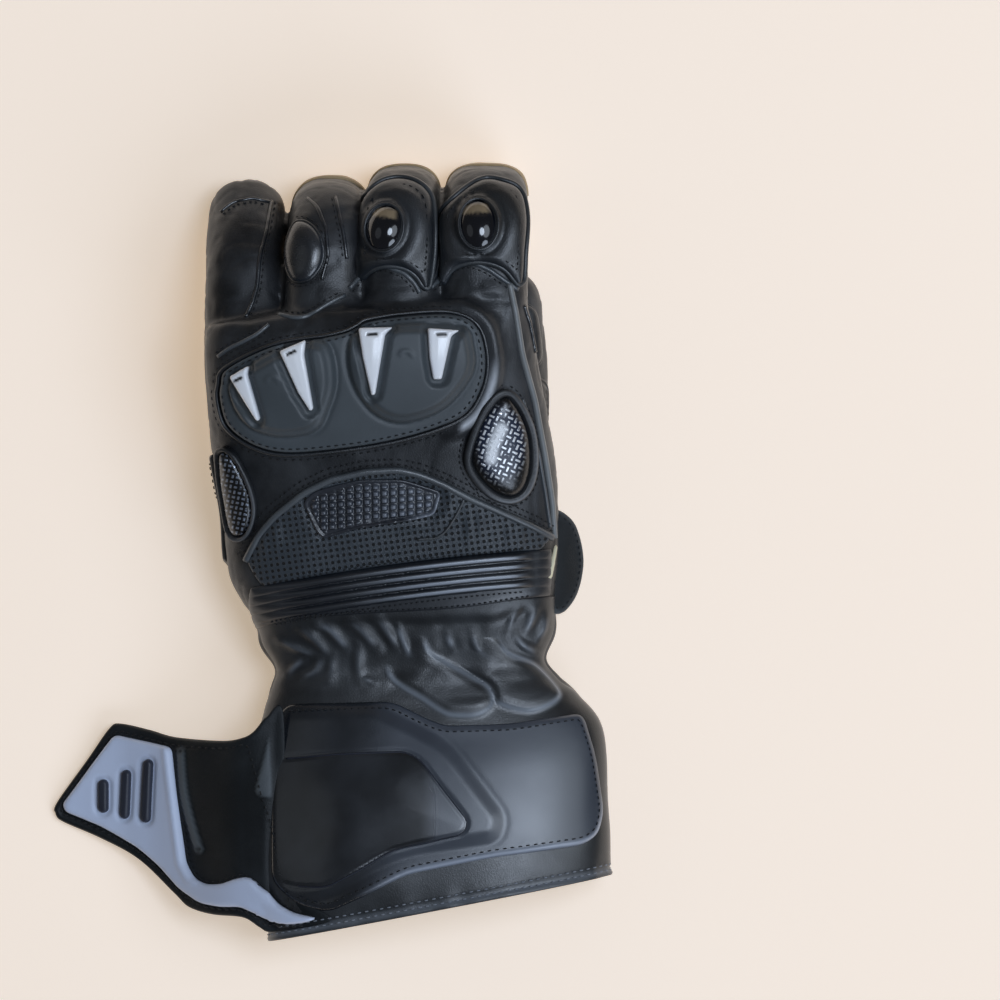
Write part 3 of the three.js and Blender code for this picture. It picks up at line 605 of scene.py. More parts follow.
class Board:  # one material's nodes
    def __init__(self, name, slot=None, **constants):
        self.material = bpy.data.materials.new(name)
        slotOf[self.material.name] = slot
        self.material.use_nodes = True
        self.tree = self.material.node_tree
        self.shader = self.tree.nodes["Principled BSDF"]
        self.surface(**constants)

    def node(self, kind, settings=None, inputs=None, output=0):
        made = self.tree.nodes.new(kind)
        for key, value in (settings or {}).items():
            setattr(made, key, value)
        for key, value in (inputs or {}).items():
            self.feed(made.inputs[key], value)
        return Value(self, made.outputs[output])

    def feed(self, socket, value):
        if isinstance(value, Value):
            self.tree.links.new(value.socket, socket)
        else:
            socket.default_value = value

    def surface(self, **inputs):
        for key, value in inputs.items():
            self.feed(self.shader.inputs[key.replace("_", " ")], value)

    def math(self, operation, *values):
        return self.node("ShaderNodeMath", {"operation": operation}, dict(enumerate(values)))

    def between(self, value, low, high):  # 0 below low, 1 above high
        return self.node("ShaderNodeMapRange", {"interpolation_type": "SMOOTHSTEP"},
                         {"Value": value, "From Min": low, "From Max": high})

    def mix(self, factor, *colours):  # a plain colour is given as red, green and blue from 0 to 255
        first, second = [srgb(*c) if isinstance(c, tuple) else c for c in colours]
        return self.node("ShaderNodeMix", {"data_type": "RGBA"}, {0: factor, 6: first, 7: second}, 2)

    def place(self):
        return self.node("ShaderNodeTexCoord", output="Object")

    def scaled(self, vector, scale):
        return self.node("ShaderNodeVectorMath", {"operation": "MULTIPLY"}, {0: vector, 1: scale})

    def turned(self, vector, angles):
        return self.node("ShaderNodeMapping", {}, {"Vector": vector, "Rotation": angles})

    def parts(self, vector):
        split = self.node("ShaderNodeSeparateXYZ", {}, {0: vector})
        return [Value(self, socket) for socket in split.socket.node.outputs]

    def noise(self, vector, size, detail=3.0, rough=0.55):  # size in millimetres
        inputs = {"Vector": vector, "Scale": 1000 / size, "Detail": detail, "Roughness": rough}
        return self.node("ShaderNodeTexNoise", {}, inputs)

    def cells(self, vector, size, feature="F1", spread=1.0):
        inputs = {"Vector": vector, "Scale": 1000 / size, "Randomness": spread}
        return self.node("ShaderNodeTexVoronoi", {"feature": feature}, inputs, "Distance")

    def mark(self, name):
        return self.node("ShaderNodeAttribute", {"attribute_name": name}, output="Fac")

    def bump(self, height, depth, strength=1.0):  # depth in millimetres
        inputs = {"Height": height, "Distance": depth * mm, "Strength": strength}
        return self.node("ShaderNodeBump", {}, inputs)


def srgb(*colour):
    return (*[c / 255 / 12.92 if c < 10.3 else ((c / 255 + 0.055) / 1.055) ** 2.4 for c in colour], 1)


def grainOf(board, where, size):  # pebbled hide: cells with creases between them, on softer swells
    pebbles = board.between(board.cells(where, size, "DISTANCE_TO_EDGE"), 0.0, 0.22)
    fine = board.noise(where, size * 0.45, 2)
    swell = board.noise(where, size * 7, 2)
    return pebbles * 0.55 + fine * 0.3 + swell * 1.2


def leather(name, colour, worn, roughness, grain, depth, coat=0.0, shine=0.5, clouded=0.6,
            slot="black_leather"):
    board = Board(name, slot, Coat_Weight=coat, Coat_Roughness=0.3, Specular_IOR_Level=shine)
    where = board.place()
    patchy = board.between(board.noise(where, 26, 4), 0.35, 0.7)
    scuffs = board.between(board.noise(board.scaled(where, (1, 2.6, 1)), 3.2, 4, 0.7), 0.52, 0.72)
    # worn colour from scuffs, mottling and the mark: worn edges on some pieces, painted highlights on others
    wear_and_painted_light = board.mark("wear_and_painted_light") * 0.8 + scuffs * (clouded * 0.2)
    board.surface(Base_Color=board.mix(wear_and_painted_light, board.mix(patchy * clouded, colour, worn), worn),
                  Roughness=roughness + patchy * 0.07 - scuffs * 0.05,
                  Normal=board.bump(grainOf(board, where, grain), depth))
    return board.material


blackLeather = leather("black_leather", (16, 20, 24), (34, 40, 47), 0.35, 0.85, 0.045, 0.1, 0.9)
softLeather = leather("gathered_leather", (17, 21, 26), (38, 44, 52), 0.28, 0.9, 0.03, 0.3, 1.0)
# ribbed_leather: its worn colour paints the highlights on the pleat crests
ribLeather = leather("ribbed_leather", (19, 24, 31), (168, 177, 190), 0.33, 0.9, 0.02, 0.2, 0.9, 0.03)
# folded_leather: its worn colour paints the highlights on the wrist's fold crests and a paler hem band
foldLeather = leather("folded_leather", (19, 23, 27), (138, 145, 154), 0.36, 0.9, 0.03, 0.15, 0.8, 0.05)
# rolled_leather: its worn colour mostly paints highlights, on the hand's roll and right side and on the
# slider rims
rollLeather = leather("rolled_leather", (16, 19, 23), (210, 215, 222), 0.38, 0.9, 0.035, 0.08, 0.5, 0.04)
# piping and seam leathers are lit copies of the black hide: their paler colours paint the highlights on
# raised piping and seams
pipingLeather = leather("piping_leather", (37, 41, 44), (70, 75, 80), 0.36, 0.9, 0.03, 0.1, 0.8)
seamHighlightLeather = leather("seam_painted_highlight_leather", (112, 115, 116), (134, 138, 140), 0.4, 0.9, 0.03, 0.1, 0.7)
seamLeather = leather("seam_leather", (66, 71, 76), (92, 98, 102), 0.34, 0.9, 0.03, 0.1, 0.9)
# flap_leather: its worn colour paints the highlights on the flap's rib and fin, and wear at the strap tab's
# edges
flapLeather = leather("flap_leather", (19, 23, 26), (112, 119, 124), 0.5, 0.85, 0.045, 0.0, 0.3, 0.05)
tanLeather = leather("tan_leather", (212, 192, 158), (186, 158, 118), 0.55, 0.7, 0.05, slot="tan_leather")
paleTan = leather("pale_tan", (236, 232, 204), (214, 202, 168), 0.5, 0.7, 0.04, slot="tan_leather")


def perforated():  # rows of punched holes in black hide
    look = dict(pitch=2.1, hole=(0.19, 0.31), lean=8)
    board = Board("perforated_leather", "black_leather")
    where = board.turned(board.place(), (0, 0, math.radians(-look["lean"])))
    flat = board.scaled(where, (1, 1, 0))
    hole = 1 - board.between(board.cells(flat, look["pitch"], "F1", 0.0), *look["hole"])
    board.surface(Base_Color=board.mix(hole, (56, 62, 68), (6, 7, 8)), Roughness=0.36 + hole * 0.4,
                  Normal=board.bump(grainOf(board, where, 0.9) * 0.25 - hole * 1.6, 0.35))
    return board.material


def gripLeather():  # raised scales, darker in between
    board = Board("embossed_grip", "grip_black", Coat_Weight=0.25, Coat_Roughness=0.25)
    where = board.place()
    scale = board.between(board.cells(where, 1.55, "DISTANCE_TO_EDGE", 0.55), 0.04, 0.3)
    board.surface(Base_Color=board.mix(scale, (9, 10, 12), (31, 36, 42)), Roughness=0.5 - scale * 0.16,
                  Normal=board.bump(scale, 0.3))
    return board.material


def mouldedRubber(name, slot, colour, worn, roughness, depth=0.03, shine=0.5, clouded=0.25):
    board = Board(name, slot, Specular_IOR_Level=shine)
    where = board.place()
    cloud = board.between(board.noise(where, 30, 3), 0.35, 0.7)
    dust = board.noise(where, 0.5, 3, 0.7)
    # the mark holds worn edges on some pieces and painted highlights on others
    wear_and_painted_light = board.mark("wear_and_painted_light") * 0.6
    gloss_and_shade = board.mark("gloss_and_shade")
    # the mark makes the rubber glossier and darkens its colour; on the cuff guard that darkening is painted
    # shade
    dark = board.mix(gloss_and_shade, colour, (17, 20, 23))
    board.surface(Base_Color=board.mix(wear_and_painted_light + cloud * clouded, dark, worn),
                  Roughness=(roughness + cloud * 0.06) * (1 - gloss_and_shade * 0.5),
                  Normal=board.bump(dust, depth))
    return board.material


def silverShell():
    board = Board("pearl_silver", "silver_insert", Coat_Weight=0.6, Coat_Roughness=0.15)
    where = board.place()
    # the slot is painted near-black: painted shade in its recess
    slot = board.mark("slot")
    cloud = board.noise(where, 9, 2)
    fleck = board.between(board.cells(where, 0.35), 0.1, 0.5)
    pearl = board.mix(cloud, (246, 249, 255), (255, 255, 255))
    # edges turn a little blue-grey: painted shade at the pocket edges
    edgeShaded = board.mix(board.mark("wear_and_painted_light") * 0.15, pearl, (186, 196, 220))
    board.surface(Base_Color=board.mix(slot, edgeShaded, (10, 11, 14)), Roughness=0.32 + fleck * 0.05)
    return board.material


def polished():
    board = Board("gloss_black", "dome_gloss", Coat_Weight=1.0, Coat_Roughness=0.06, Coat_IOR=1.5)
    haze = board.noise(board.place(), 6, 3)
    # the band mark paints a tan reflection near each cap's far end
    colour = board.mix(board.mark("band"), board.mix(haze, (4, 4, 5), (15, 19, 30)), (138, 122, 98))
    board.surface(Base_Color=colour, Roughness=0.1 + haze * 0.06)
    return board.material


def tread(name, look):  # short dashes, turn about one way and the other, under a clear coat; marks paint glints and a highlight streak
    board = Board(name, "carbon_slider", Coat_Weight=0.5, Coat_Roughness=0.2)
    turned = board.turned(board.place(), (0, 0, math.radians(look["turn"])))
    x, y, _ = board.parts(board.scaled(turned, (1000 / look["pitch"],) * 3))
    whole = [board.math("FLOOR", v) for v in (x, y)]
    u, v = [board.math("ABSOLUTE", value - cell - 0.5) for value, cell in zip((x, y), whole)]
    odd = board.math("PINGPONG", whole[0] + whole[1], 1)
    long, short = [board.mix(odd, first, second) for first, second in ((u, v), (v, u))]
    dash = (1 - board.between(long, *look["long"])) * (1 - board.between(short, *look["short"]))
    worn = board.between(board.noise(board.place(), 2.2, 2), 0.3, 0.5)
    # lit: painted glints, bright dashes gathered round where the highlight falls, with a blue tint there
    lit = board.between(board.mark("glint"), 0.15, 0.5)
    bright = dash * worn * lit
    # glow: a painted highlight streak
    glow = board.between(board.mark("glow"), 0.25, 1.05)
    shown = board.math("MAXIMUM", bright, glow)
    board.surface(Base_Color=board.mix(shown, board.mix(lit, (5, 6, 9), look["deep"]), look["colour"]),
                  Roughness=0.3 - bright * 0.1, Metallic=bright * 0.4, Normal=board.bump(dash, 0.12, 0.7))
    return board.material


def fuzzy():  # looped pile
    board = Board("loop_fabric", "loop_fabric", Sheen_Weight=0.35, Sheen_Roughness=0.5)
    where = board.place()
    loops = board.noise(where, 0.7, 4, 0.75)
    clumps = board.noise(where, 3.5, 3)
    raised = board.between(loops * 0.7 + clumps * 0.3, 0.4, 0.62)
    board.surface(Base_Color=board.mix(raised, (6, 6, 7), (38, 39, 42)), Roughness=0.95,
                  Normal=board.bump(loops + clumps * 0.5, 0.9))
    return board.material


def threadLook(name, slot, colour, shade):
    board = Board(name, slot)
    twist = board.noise(board.place(), 0.25, 2)
    board.surface(Base_Color=board.mix(twist, colour, shade), Roughness=0.6, Normal=board.bump(twist, 0.05))
    return board.material


perforatedLeather = perforated()
embossedGrip = gripLeather()
guardRubber = mouldedRubber("moulded_rubber", "moulded_black", (66, 72, 76), (90, 98, 104), 0.46)
sliderRubber = mouldedRubber("slider_rubber", "moulded_black", (24, 26, 30), (48, 52, 58), 0.4)
# scoop_rubber: its worn colour paints the highlights in the scoop
scoopRubber = mouldedRubber("scoop_rubber", "scoop_black", (34, 38, 46), (150, 158, 172), 0.28, 0.03, 1.0,
                            0.04)
# cuff_rubber: its worn colour paints the highlights on the guard's lower and right bevels
cuffRubber = mouldedRubber("cuff_rubber", "cuff_gloss", (50, 57, 68), (196, 205, 222), 0.33, 0.02, 1.0, 0.03)
greyRubber = mouldedRubber("grey_rubber", "guard_grey", (202, 213, 237), (212, 222, 243), 0.5)
barRubber = mouldedRubber("bar_rubber", "bar_dark", (30, 34, 46), (52, 56, 70), 0.42)
pearlSilver = silverShell()
glossBlack = polished()
weaves = dict(
    thumb_side_slider=tread("tread_gloss", dict(turn=24, pitch=2.05, long=(0.38, 0.5), short=(0.12, 0.21),
                                                colour=(248, 251, 255), deep=(27, 38, 60))),
    edge_slider=tread("dotted_gloss", dict(turn=12, pitch=1.7, long=(0.22, 0.4), short=(0.14, 0.26),
                                           colour=(132, 140, 154), deep=(8, 9, 12))))
loopPile = fuzzy()
darkThread = threadLook("dark_thread", "black_leather", (24, 27, 32), (8, 9, 11))
greyThread = threadLook("grey_thread", "black_leather", (156, 162, 172), (92, 97, 106))
paleThread = threadLook("pale_thread", "tan_leather", (226, 210, 178), (170, 150, 116))
print("materials ready")

# Moulded guard over the knuckles
guard = dict(
    rim=2.2, lobe=4.7, crown=6.3, shoulder=1.9, crownInset=2.6, pocket=1.9, spacing=0.8,
    outline=[(-38.1, 57.1), (-35.7, 62.3), (-19.1, 70.2), (-0.5, 73.3), (7.8, 75.7), (12, 78.4), (24.7, 80.6),
             (41.2, 81.2), (50.2, 76.8), (53.3, 66.8), (52.3, 56.8), (46.7, 47.1), (35.7, 41.6), (19.1, 37.1),
             (0.5, 34.3), (-16, 33.3), (-27.1, 36.1), (-35.7, 42.6), (-38.5, 51.6)],
    lobes=[[(-35.2, 59.2), (-27.1, 64.2), (-18.1, 69), (-8.1, 72.2), (-0.5, 70.2), (1.9, 58.1), (-0.5, 48.1),
            (-5, 40.5), (-16, 38.4), (-27.1, 41.2), (-33.6, 48.6)],
           [(7, 72), (12, 76.8), (27.1, 78), (45.7, 77), (49.5, 70), (49.5, 61), (43.3, 51.6), (35.7, 46.1),
            (24.7, 43.3), (16, 46), (9.5, 53.6), (6.4, 63)]],
    dimples=[(26, 67.4), (-19.5, 58.8)])

# Hand, fingers and thumb: one hide skin over their tubes, hollow inside
# shine and sideShine size the painted highlight by the guard and the painted sheen on the right
handSkin = dict(voxel=1.15, innerVoxel=2.2, wall=2.0, smoothing=7, swell=0.35, crease=0.3, roll=1.9,
                shine=1.1, sideShine=0.036)


def bodyTubes(off, start):  # the hand, the fingers and the thumb as overlapping solids
    runs = [(sleeve, start, 46, 120), (thumb, 0, 34, 48)]
    runs[1:1] = [(tube, 0, 44, 48) for tube in fingers.values()]
    return join([closedTube(tube, np.linspace(low, tube.last + 0.95, rows), count, off)
                 for tube, low, rows, count in runs])


def handRelief(points, n):
    flexed = smooth(points[:, 1], 78, 100) * smooth(n[:, 2], 0.1, -0.5)
    stretch = noise3(points * (1, 0.45, 1), 9, 3) + 0.5 * noise3(points, 4.5, 4)
    lines = creases(points * (1, 0.6, 1), 13, 11) + 0.6 * creases(points, 6, 23)
    quiet = 1 - 0.6 * smooth(n[:, 2], 0.5, 0.9) * smooth(points[:, 1], 84, 70)
    folds = np.sin(points[:, 2] * 0.9 + noise3(points, 7, 9) * 2.2) * flexed * 0.28
    top = smooth(n[:, 2], 0.5, 0.85) * bell(points[:, 1] - 89, 6) * smooth(points[:, 0], -20, 10)
    wrinkles = noise3(points * (0.28, 1, 0.4), 2.6, 15) * top * 0.45  # across, between hoods and guard
    plan = points[:, :2]
    beside = (n[:, 2] > 0.2) & (points[:, 0] > 34) & (points[:, 1] > 34) & (points[:, 1] < 86)
    roll = np.zeros(len(points))
    d = -within(plan[beside], curve(guard["outline"], 1.5))
    roll[beside] = handSkin["roll"] * bell(d - 3.4, 2.4) * smooth(plan[beside, 0], 36, 46)
    return handSkin["swell"] * stretch * quiet - handSkin["crease"] * lines * quiet + folds + wrinkles + roll


def buildHand():
    skin = makePiece("hand_skin", *bodyTubes(0, handStart + 0.02), blackLeather)
    skin = modify(skin, "REMESH", mode="VOXEL", voxel_size=handSkin["voxel"] * mm)
    skin = modify(skin, "SMOOTH", factor=0.5, iterations=handSkin["smoothing"])
    points, n = vectors(skin, "co") / mm, vectors(skin, "normal")
    moved = points + n * handRelief(points, n)[:, None]
    moved[:, 2] = np.maximum(moved[:, 2], 0.3)
    skin.data.vertices.foreach_set("co", (moved * mm).ravel())
    inner = makePiece("hand_hollow", *bodyTubes(-handSkin["wall"], handStart - 0.5), blackLeather)
    inner = modify(inner, "REMESH", mode="VOXEL", voxel_size=handSkin["innerVoxel"] * mm)
    skin = modify(skin, "BOOLEAN", operation="DIFFERENCE", solver="MANIFOLD", object=inner)
    bpy.data.objects.remove(inner)
    skin.data.polygons.foreach_set("use_smooth", [True] * len(skin.data.polygons))
    points, n = vectors(skin, "co") / mm, vectors(skin, "normal")
    x, y, z = points.T
    beside = (n[:, 2] > 0.25) & (x > 42) & (y > 38) & (y < 70) & (z > 30)
    d = -within(points[beside, :2], curve(guard["outline"], 1.5))
    shine = np.zeros(len(points))  # painted highlight on the roll beside the knuckle guard
    shine[beside] = bell(d - 2.9, handSkin["shine"]) * smooth(y[beside], 68, 56) * smooth(x[beside], 43.5, 46)
    # painted sheen: the back of the hand lighter towards its right side
    right = smooth(x, 40, 58) * smooth(y, 92, 82) * smooth(y, 0, 20) * smooth(n[:, 2], 0, 0.5)
    shine = np.maximum(shine, handSkin["sideShine"] * right)
    skin.data.attributes.new("wear_and_painted_light", "FLOAT", "POINT").data.foreach_set("value", shine.astype(np.float32))
    skin.data.materials[0] = rollLeather
    return place(skin, "hand_shell", "thumb", *[f"finger_{name}" for name in fingers])


buildHand()
print("hand made")

# Gathered wrist and cuff
cuffLook = dict(around=400, hemRows=60, foldRows=138, innerRows=28, split=3.3, row=23.8, wall=1.9, hem=4.2,
                underFolds=17, underDepth=0.8)
# each fold: its half width, height, the strength of its painted crest highlight, and its line
folds = table("half height shine line", [
    (1.9, 1.5, 0.55, [(-4.6, -25.6), (0.5, -28.4), (5.6, -34)]),
    (1.8, 1.4, 0.2, [(-11, -26.4), (-5.2, -31.2), (-0.6, -36.6)]),
    (1.7, 1.3, 0.25, [(-18, -31), (-12.4, -33.4), (-5.6, -36.2)]),
    (1.5, 1.2, 0.5, [(-15.6, -43.4), (-12.4, -39.6), (-9.2, -37.2)]),
    (1.6, 1.3, 0.35, [(-10.4, -44.2), (-5.6, -41.4), (-3.2, -36.6)]),
    (1.6, 1.2, 0.2, [(0.4, -35.8), (0.0, -40.5), (-1.2, -45)]),
    (1.9, 1.4, 0.15, [(9.4, -32.4), (9.0, -39.6), (10, -45)]),
    (1.3, 1.0, 0.4, [(9.4, -43.6), (12, -44.6), (15, -45.8)]),
    (2.3, 1.7, 0.3, [(6.4, -24.8), (11.4, -28.6), (15.6, -33.6)]),
    (2.1, 1.6, 0.3, [(15.8, -23.4), (19.4, -28.2), (23.0, -33.8)]),
    (1.3, 1.5, 0.75, [(22.8, -26), (24.8, -31.2), (27.4, -37.6)]),
    (1.2, 1.2, 0.9, [(39.8, -28.6), (40.8, -31.4), (42, -34.4)]),
    (1.6, 1.6, 0.45, [(48.7, -28.2), (50.7, -34.1), (55.5, -37.5), (60.3, -38.2)]),
    (1.6, 1.4, 0.6, [(63.6, -29.2), (66, -32.6), (71, -35.6)]),
    (1.5, 1.4, 0.75, [(70.4, -20.6), (68.6, -24.8), (67, -28.6)]),
    (1.4, 1.2, 0.3, [(74.4, -22.4), (73.2, -27), (71.6, -31.6)]),
    (1.3, 1.2, 0.3, [(64.6, -20.6), (62.4, -24.2), (60.6, -28.4)])])
lobes = table("edge grows outline", [  # soft lobes that swell towards the cuff, each with a painted highlight along its edge
    ((0, 14), (23, -33), [
        (31.6, -29.4), (33.7, -34.8), (39.8, -38.9), (48, -43.7), (53.5, -47.1), (55.5, -51.2), (54.1, -54.6),
        (49.4, -56.8), (41.9, -56.8), (37.8, -55.3), (31.6, -51.2), (24.8, -47.1), (20.7, -43.7),
        (18.4, -38.9), (21.4, -34.1), (26.5, -30.7)]),
    ((0, 11), (47, -31), [
        (56.9, -30.7), (61, -35.5), (68.5, -38.9), (73.9, -43.7), (78, -48.5), (78, -51.2), (73.9, -53.9),
        (68.5, -55.3), (63, -54.6), (57.5, -52.6), (55.7, -50.2), (54.5, -46.7), (49, -42.7), (43, -38.7),
        (40.6, -34), (46, -30.5), (52, -30)])])
foldLook = dict(height=0.62, width=0.85, line=0.85)
lobeLook = dict(height=1.7, edge=3.6, ridge=0.4, width=0.9, line=0.85)
hollow = dict(line=[(-2, -26.6), (20, -26.2), (40, -26.2), (56, -25.6), (66, -22.6)], depth=0.9, width=3.0)


def foldShape(plan):  # height of the folds, and the painted highlight along their crests
    total, shine = np.zeros(len(plan)), np.zeros(len(plan))
    for fold in folds:
        line = curve(fold["line"], 0.8, False)
        reach, away = toEnds(plan, line), toLine(plan, line, False)
        full = foldLook["height"] * (0.3 + 0.7 * smooth(reach, 0, 6))
        total = np.maximum(total, fold["height"] * full * bell(away, fold["half"] * foldLook["width"]))
        shine = np.maximum(shine, fold["shine"] * smooth(reach, 0, 3.5) * bell(away, foldLook["line"]))
    for lobe in lobes:
        d = within(plan, curve(lobe["outline"], 1.2))
        rim = curve(lobe["outline"][slice(*lobe["edge"])], 0.8, False)
        reach, away = smooth(toEnds(plan, rim), 0, 5), toLine(plan, rim, False)
        x, y = (plan - lobe["grows"]).T
        grown = smooth(0.75 * x - 0.66 * y, 1, 13)
        puff = lobeLook["height"] * domed(d, lobeLook["edge"]) * grown
        puff += lobeLook["ridge"] * bell(away, lobeLook["width"]) * reach
        total = np.maximum(total * (1 - grown * smooth(d, 0, 5)), puff)
        shine = np.maximum(shine * (1 - grown * smooth(d, 0, 3)), reach * bell(away, lobeLook["line"]))
    total = total - hollow["depth"] * bell(toLine(plan, hollow["line"], False), hollow["width"])
    return total, shine


def underRelief(points, angle):
    sway = noise3(points * (0.4, 1, 1), 8, 31) * 1.1
    return np.sin(angle * cuffLook["underFolds"] + sway + points[:, 1] * 0.09) * cuffLook["underDepth"]


def sleeveRelief(points, n, angle, t):
    top = smooth(n[:, 2], -0.1, 0.35)
    middle = smooth(t, 3.9, 4.8) * smooth(t, 8.3, 7.2)
    small = noise3(points * (1, 0.5, 1), 3.2, 41) * 0.12 + noise3(points, 8, 42) * 0.35
    high, shine = foldShape(points[:, :2])
    near = smooth(t, 2.7, 3.4)
    fromHem = t * cuffLook["row"]  # millimetres from the cuff's mouth
    hem = 0.7 * bell(fromHem - 0.8, 0.9) - 0.5 * bell(fromHem - cuffLook["hem"], 0.5)
    pucker = noise3(points * (1, 0.35, 0.6), 5, 51) * 0.45 * bell(fromHem - 2.5, 5)
    pucker += noise3(points, 16, 52) * 0.8
    relief = high * top * near + hem + pucker * smooth(t, 4.05, 3.6)
    relief += (1 - top) * underRelief(points, angle) * middle + small * middle
    # painted highlights on the fold crests, and a paler band along the hem, on the upper side only
    return relief, np.maximum(shine * near, 0.6 * bell(fromHem - 2.8, 1.3)) * top


def buildSleeve():
    end, count, split = handStart + 0.12, cuffLook["around"], cuffLook["split"]
    hemRows = np.linspace(0, split, cuffLook["hemRows"])[:-1]
    t = np.append(hemRows, np.linspace(split, end, cuffLook["foldRows"]))
    outer, tt, aa = rings(sleeve, t, count)
    n = sleeve.normal(tt, aa)
    height, shine = sleeveRelief(outer, n, aa, tt)
    outer = outer + n * height[:, None]
    outer[:, 2] = np.maximum(outer[:, 2], 0.25)
    inner = rings(sleeve, np.linspace(0, end, cuffLook["innerRows"]), count, -cuffLook["wall"])[0]
    size, whole = len(outer), len(outer) + len(inner)
    faces = ringFaces(len(t), count) + ringFaces(cuffLook["innerRows"], count, size, True)
    for i in range(count):
        j = (i + 1) % count
        faces.append([i, size + i, size + j, j])
        faces.append([size - count + i, size - count + j, whole - count + j, whole - count + i])
    verts, wear_and_painted_light = np.vstack([outer, inner]), {"wear_and_painted_light": np.append(shine, np.zeros(len(inner)))}
    addPiece("wrist_and_cuff", verts, faces, foldLeather, "wrist_gather", "cuff", attributes=wear_and_painted_light)


buildSleeve()
print("wrist and cuff made")

# The hand's own top, for seams that run over hand and fingers


class Drape:
    def __init__(self, piece):
        self.tree = BVHTree.FromObject(piece, bpy.context.evaluated_depsgraph_get())
        self.found = {}

    def hit(self, spot):
        key = (round(spot[0], 2), round(spot[1], 2))
        if key not in self.found:
            x, y = key[0] * mm, key[1] * mm
            place, n, _, _ = self.tree.ray_cast(Vector((x, y, 0.1)), Vector((0, 0, -1)))
            if place is None:
                place, n, _, _ = self.tree.find_nearest(Vector((x, y, 0.04)))
            self.found[key] = (*(place / mm), *n)
        return self.found[key]

    def at(self, domain):
        return np.array([self.hit(p)[:3] for p in domain])

    def normal(self, domain):
        n = np.array([self.hit(p)[3:] for p in domain])
        for _ in range(2):
            n = n + 0.5 * (np.roll(n, 1, 0) + np.roll(n, -1, 0)) if len(n) > 12 else n
            n /= np.linalg.norm(n, axis=1)[:, None]
        return n

    def fromPlan(self, plan, lift=0.0):
        return np.asarray(plan, float)


handTop = Drape(bpy.data.objects["hand_skin"])

# Silver inserts in the guard
inserts = table("outline slot lean", [
    ([(-34.7, 59.4), (-28.1, 63.2), (-28.5, 60), (-24.1, 44.6), (-25.2, 44), (-28.4, 49)], (-31.4, 58.6), 28),
    ([(-17.4, 68.2), (-8.2, 72.2), (-8.8, 67), (-5.6, 48.2), (-6.8, 47.4), (-11, 54)], (-13.2, 67.6), 24),
    ([(9.7, 76.3), (21.6, 76.5), (19, 74), (15.6, 53.2), (14.2, 52.8), (11.2, 66)], (14.6, 73.8), 4),
    ([(33.4, 76.2), (44.6, 75.4), (41.6, 73.4), (38.3, 58.4), (35.3, 58.4), (34, 66)], (38.2, 73.8), 0)])
insertLook = dict(height=7.0, floor=3.2, edge=0.9, drop=1.3, slotLength=1.4, slotWidth=0.5, spacing=0.55)


def guardHeight(spot):
    plan = (spot["base"] + spot["n"] * guard["lobe"])[:, :2]
    h = level(guard["rim"], 1.5)(spot)
    for lobe in guard["lobes"]:
        d = within(plan, curve(lobe, 1))
        h += (guard["lobe"] - guard["rim"]) * domed(d, guard["shoulder"])
        into = guard["crownInset"]
        h += (guard["crown"] - guard["lobe"]) * smooth(d, into - 0.8, into + 1.4)
        h -= 0.45 * bell(d + 0.8, 0.6)
    for row in inserts:
        h -= guard["pocket"] * smooth(within(plan, cornered(row["outline"], 1)), -2.7, -1.3)
    for x, y in guard["dimples"]:
        arc = oval(x, y - 1.2, 2.2, 2.0, 0, 0.4)
        arc = arc[arc[:, 1] > y - 0.6]
        h += 0.55 * bell(np.linalg.norm(plan[:, None] - arc, axis=2).min(1), 0.55)
    return h


def buildGuard():
    outline = curve(guard["outline"], 1)
    patch("knuckle_guard_shell", back, outline, guardHeight, guardRubber, "knuckle_guard",
          spacing=guard["spacing"], lift=guard["rim"])
    stitch("dark", back, inset(outline, 1.5), 2.5, guard["rim"] + 0.12, closed=True)
    stitch("dark", back, inset(outline, -2.2), 2.5, 0.3, closed=True, steep=0.5)
    cord("guard_piping", back, inset(outline, -0.5), 0.75, blackLeather, lift=0.35, closed=True)
    for number, row in enumerate(inserts, 1):
        turn = math.radians(row["lean"])
        end = np.array([math.cos(turn), math.sin(turn)]) * insertLook["slotLength"]
        line = np.array([row["slot"] - end, row["slot"] + end])

        # where the slot's groove is cut and painted dark as shade
        def slotMark(spot):
            away = toLine(spot["plan"], line, False) / insertLook["slotWidth"]
            return 1 - smooth(away, 0.7, 1.4)

        def height(spot):
            crown = domed(spot["edge"], insertLook["edge"]) + 0.16 * smooth(spot["edge"], 0.9, 4)
            return insertLook["height"] - insertLook["drop"] * (1 - crown) - 0.5 * slotMark(spot)

        patch(f"knuckle_insert_{number}_shell", back, cornered(row["outline"], 0.7, 0.5), height, pearlSilver,
              f"knuckle_insert_{number}", spacing=insertLook["spacing"], floor=insertLook["floor"],
              edgeRows=(0.2, 0.5), marks={"slot": slotMark}, lift=insertLook["height"] - 0.4)


buildGuard()
print("knuckle guard made")

# Padded hoods on the index and middle fingers, with polished caps
hoods = dict(
    index=dict(cap=(50.7, 111.9, 6.0, 8.0, -3),
               outline=[(37.2, 91.2), (36.9, 103), (37.4, 115.4), (42.6, 121.8), (51.6, 128), (59.5, 127.4),
                        (65.4, 124), (67.6, 115), (67, 103), (65.6, 90.8), (59.2, 96.6), (51.5, 98.8),
                        (43.2, 97.4), (39.4, 93.6)]),
    middle=dict(cap=(18.4, 110.6, 5.8, 7.5, 10),
                outline=[(6.8, 90.2), (9, 103), (9.8, 115), (11.4, 121.6), (16.4, 126.8), (23.1, 128.6),
                         (29.8, 127), (34.6, 122), (35.8, 113), (35.6, 101), (33.4, 89.4), (29, 94.4),
                         (23.9, 97), (17.2, 97.2), (11.6, 94.4)]))
hoodLook = dict(height=3.0, collar=3.9, edge=2.2, roll=0.95, sink=3.6, rise=6.2, arcs=(4.2, 6.0))
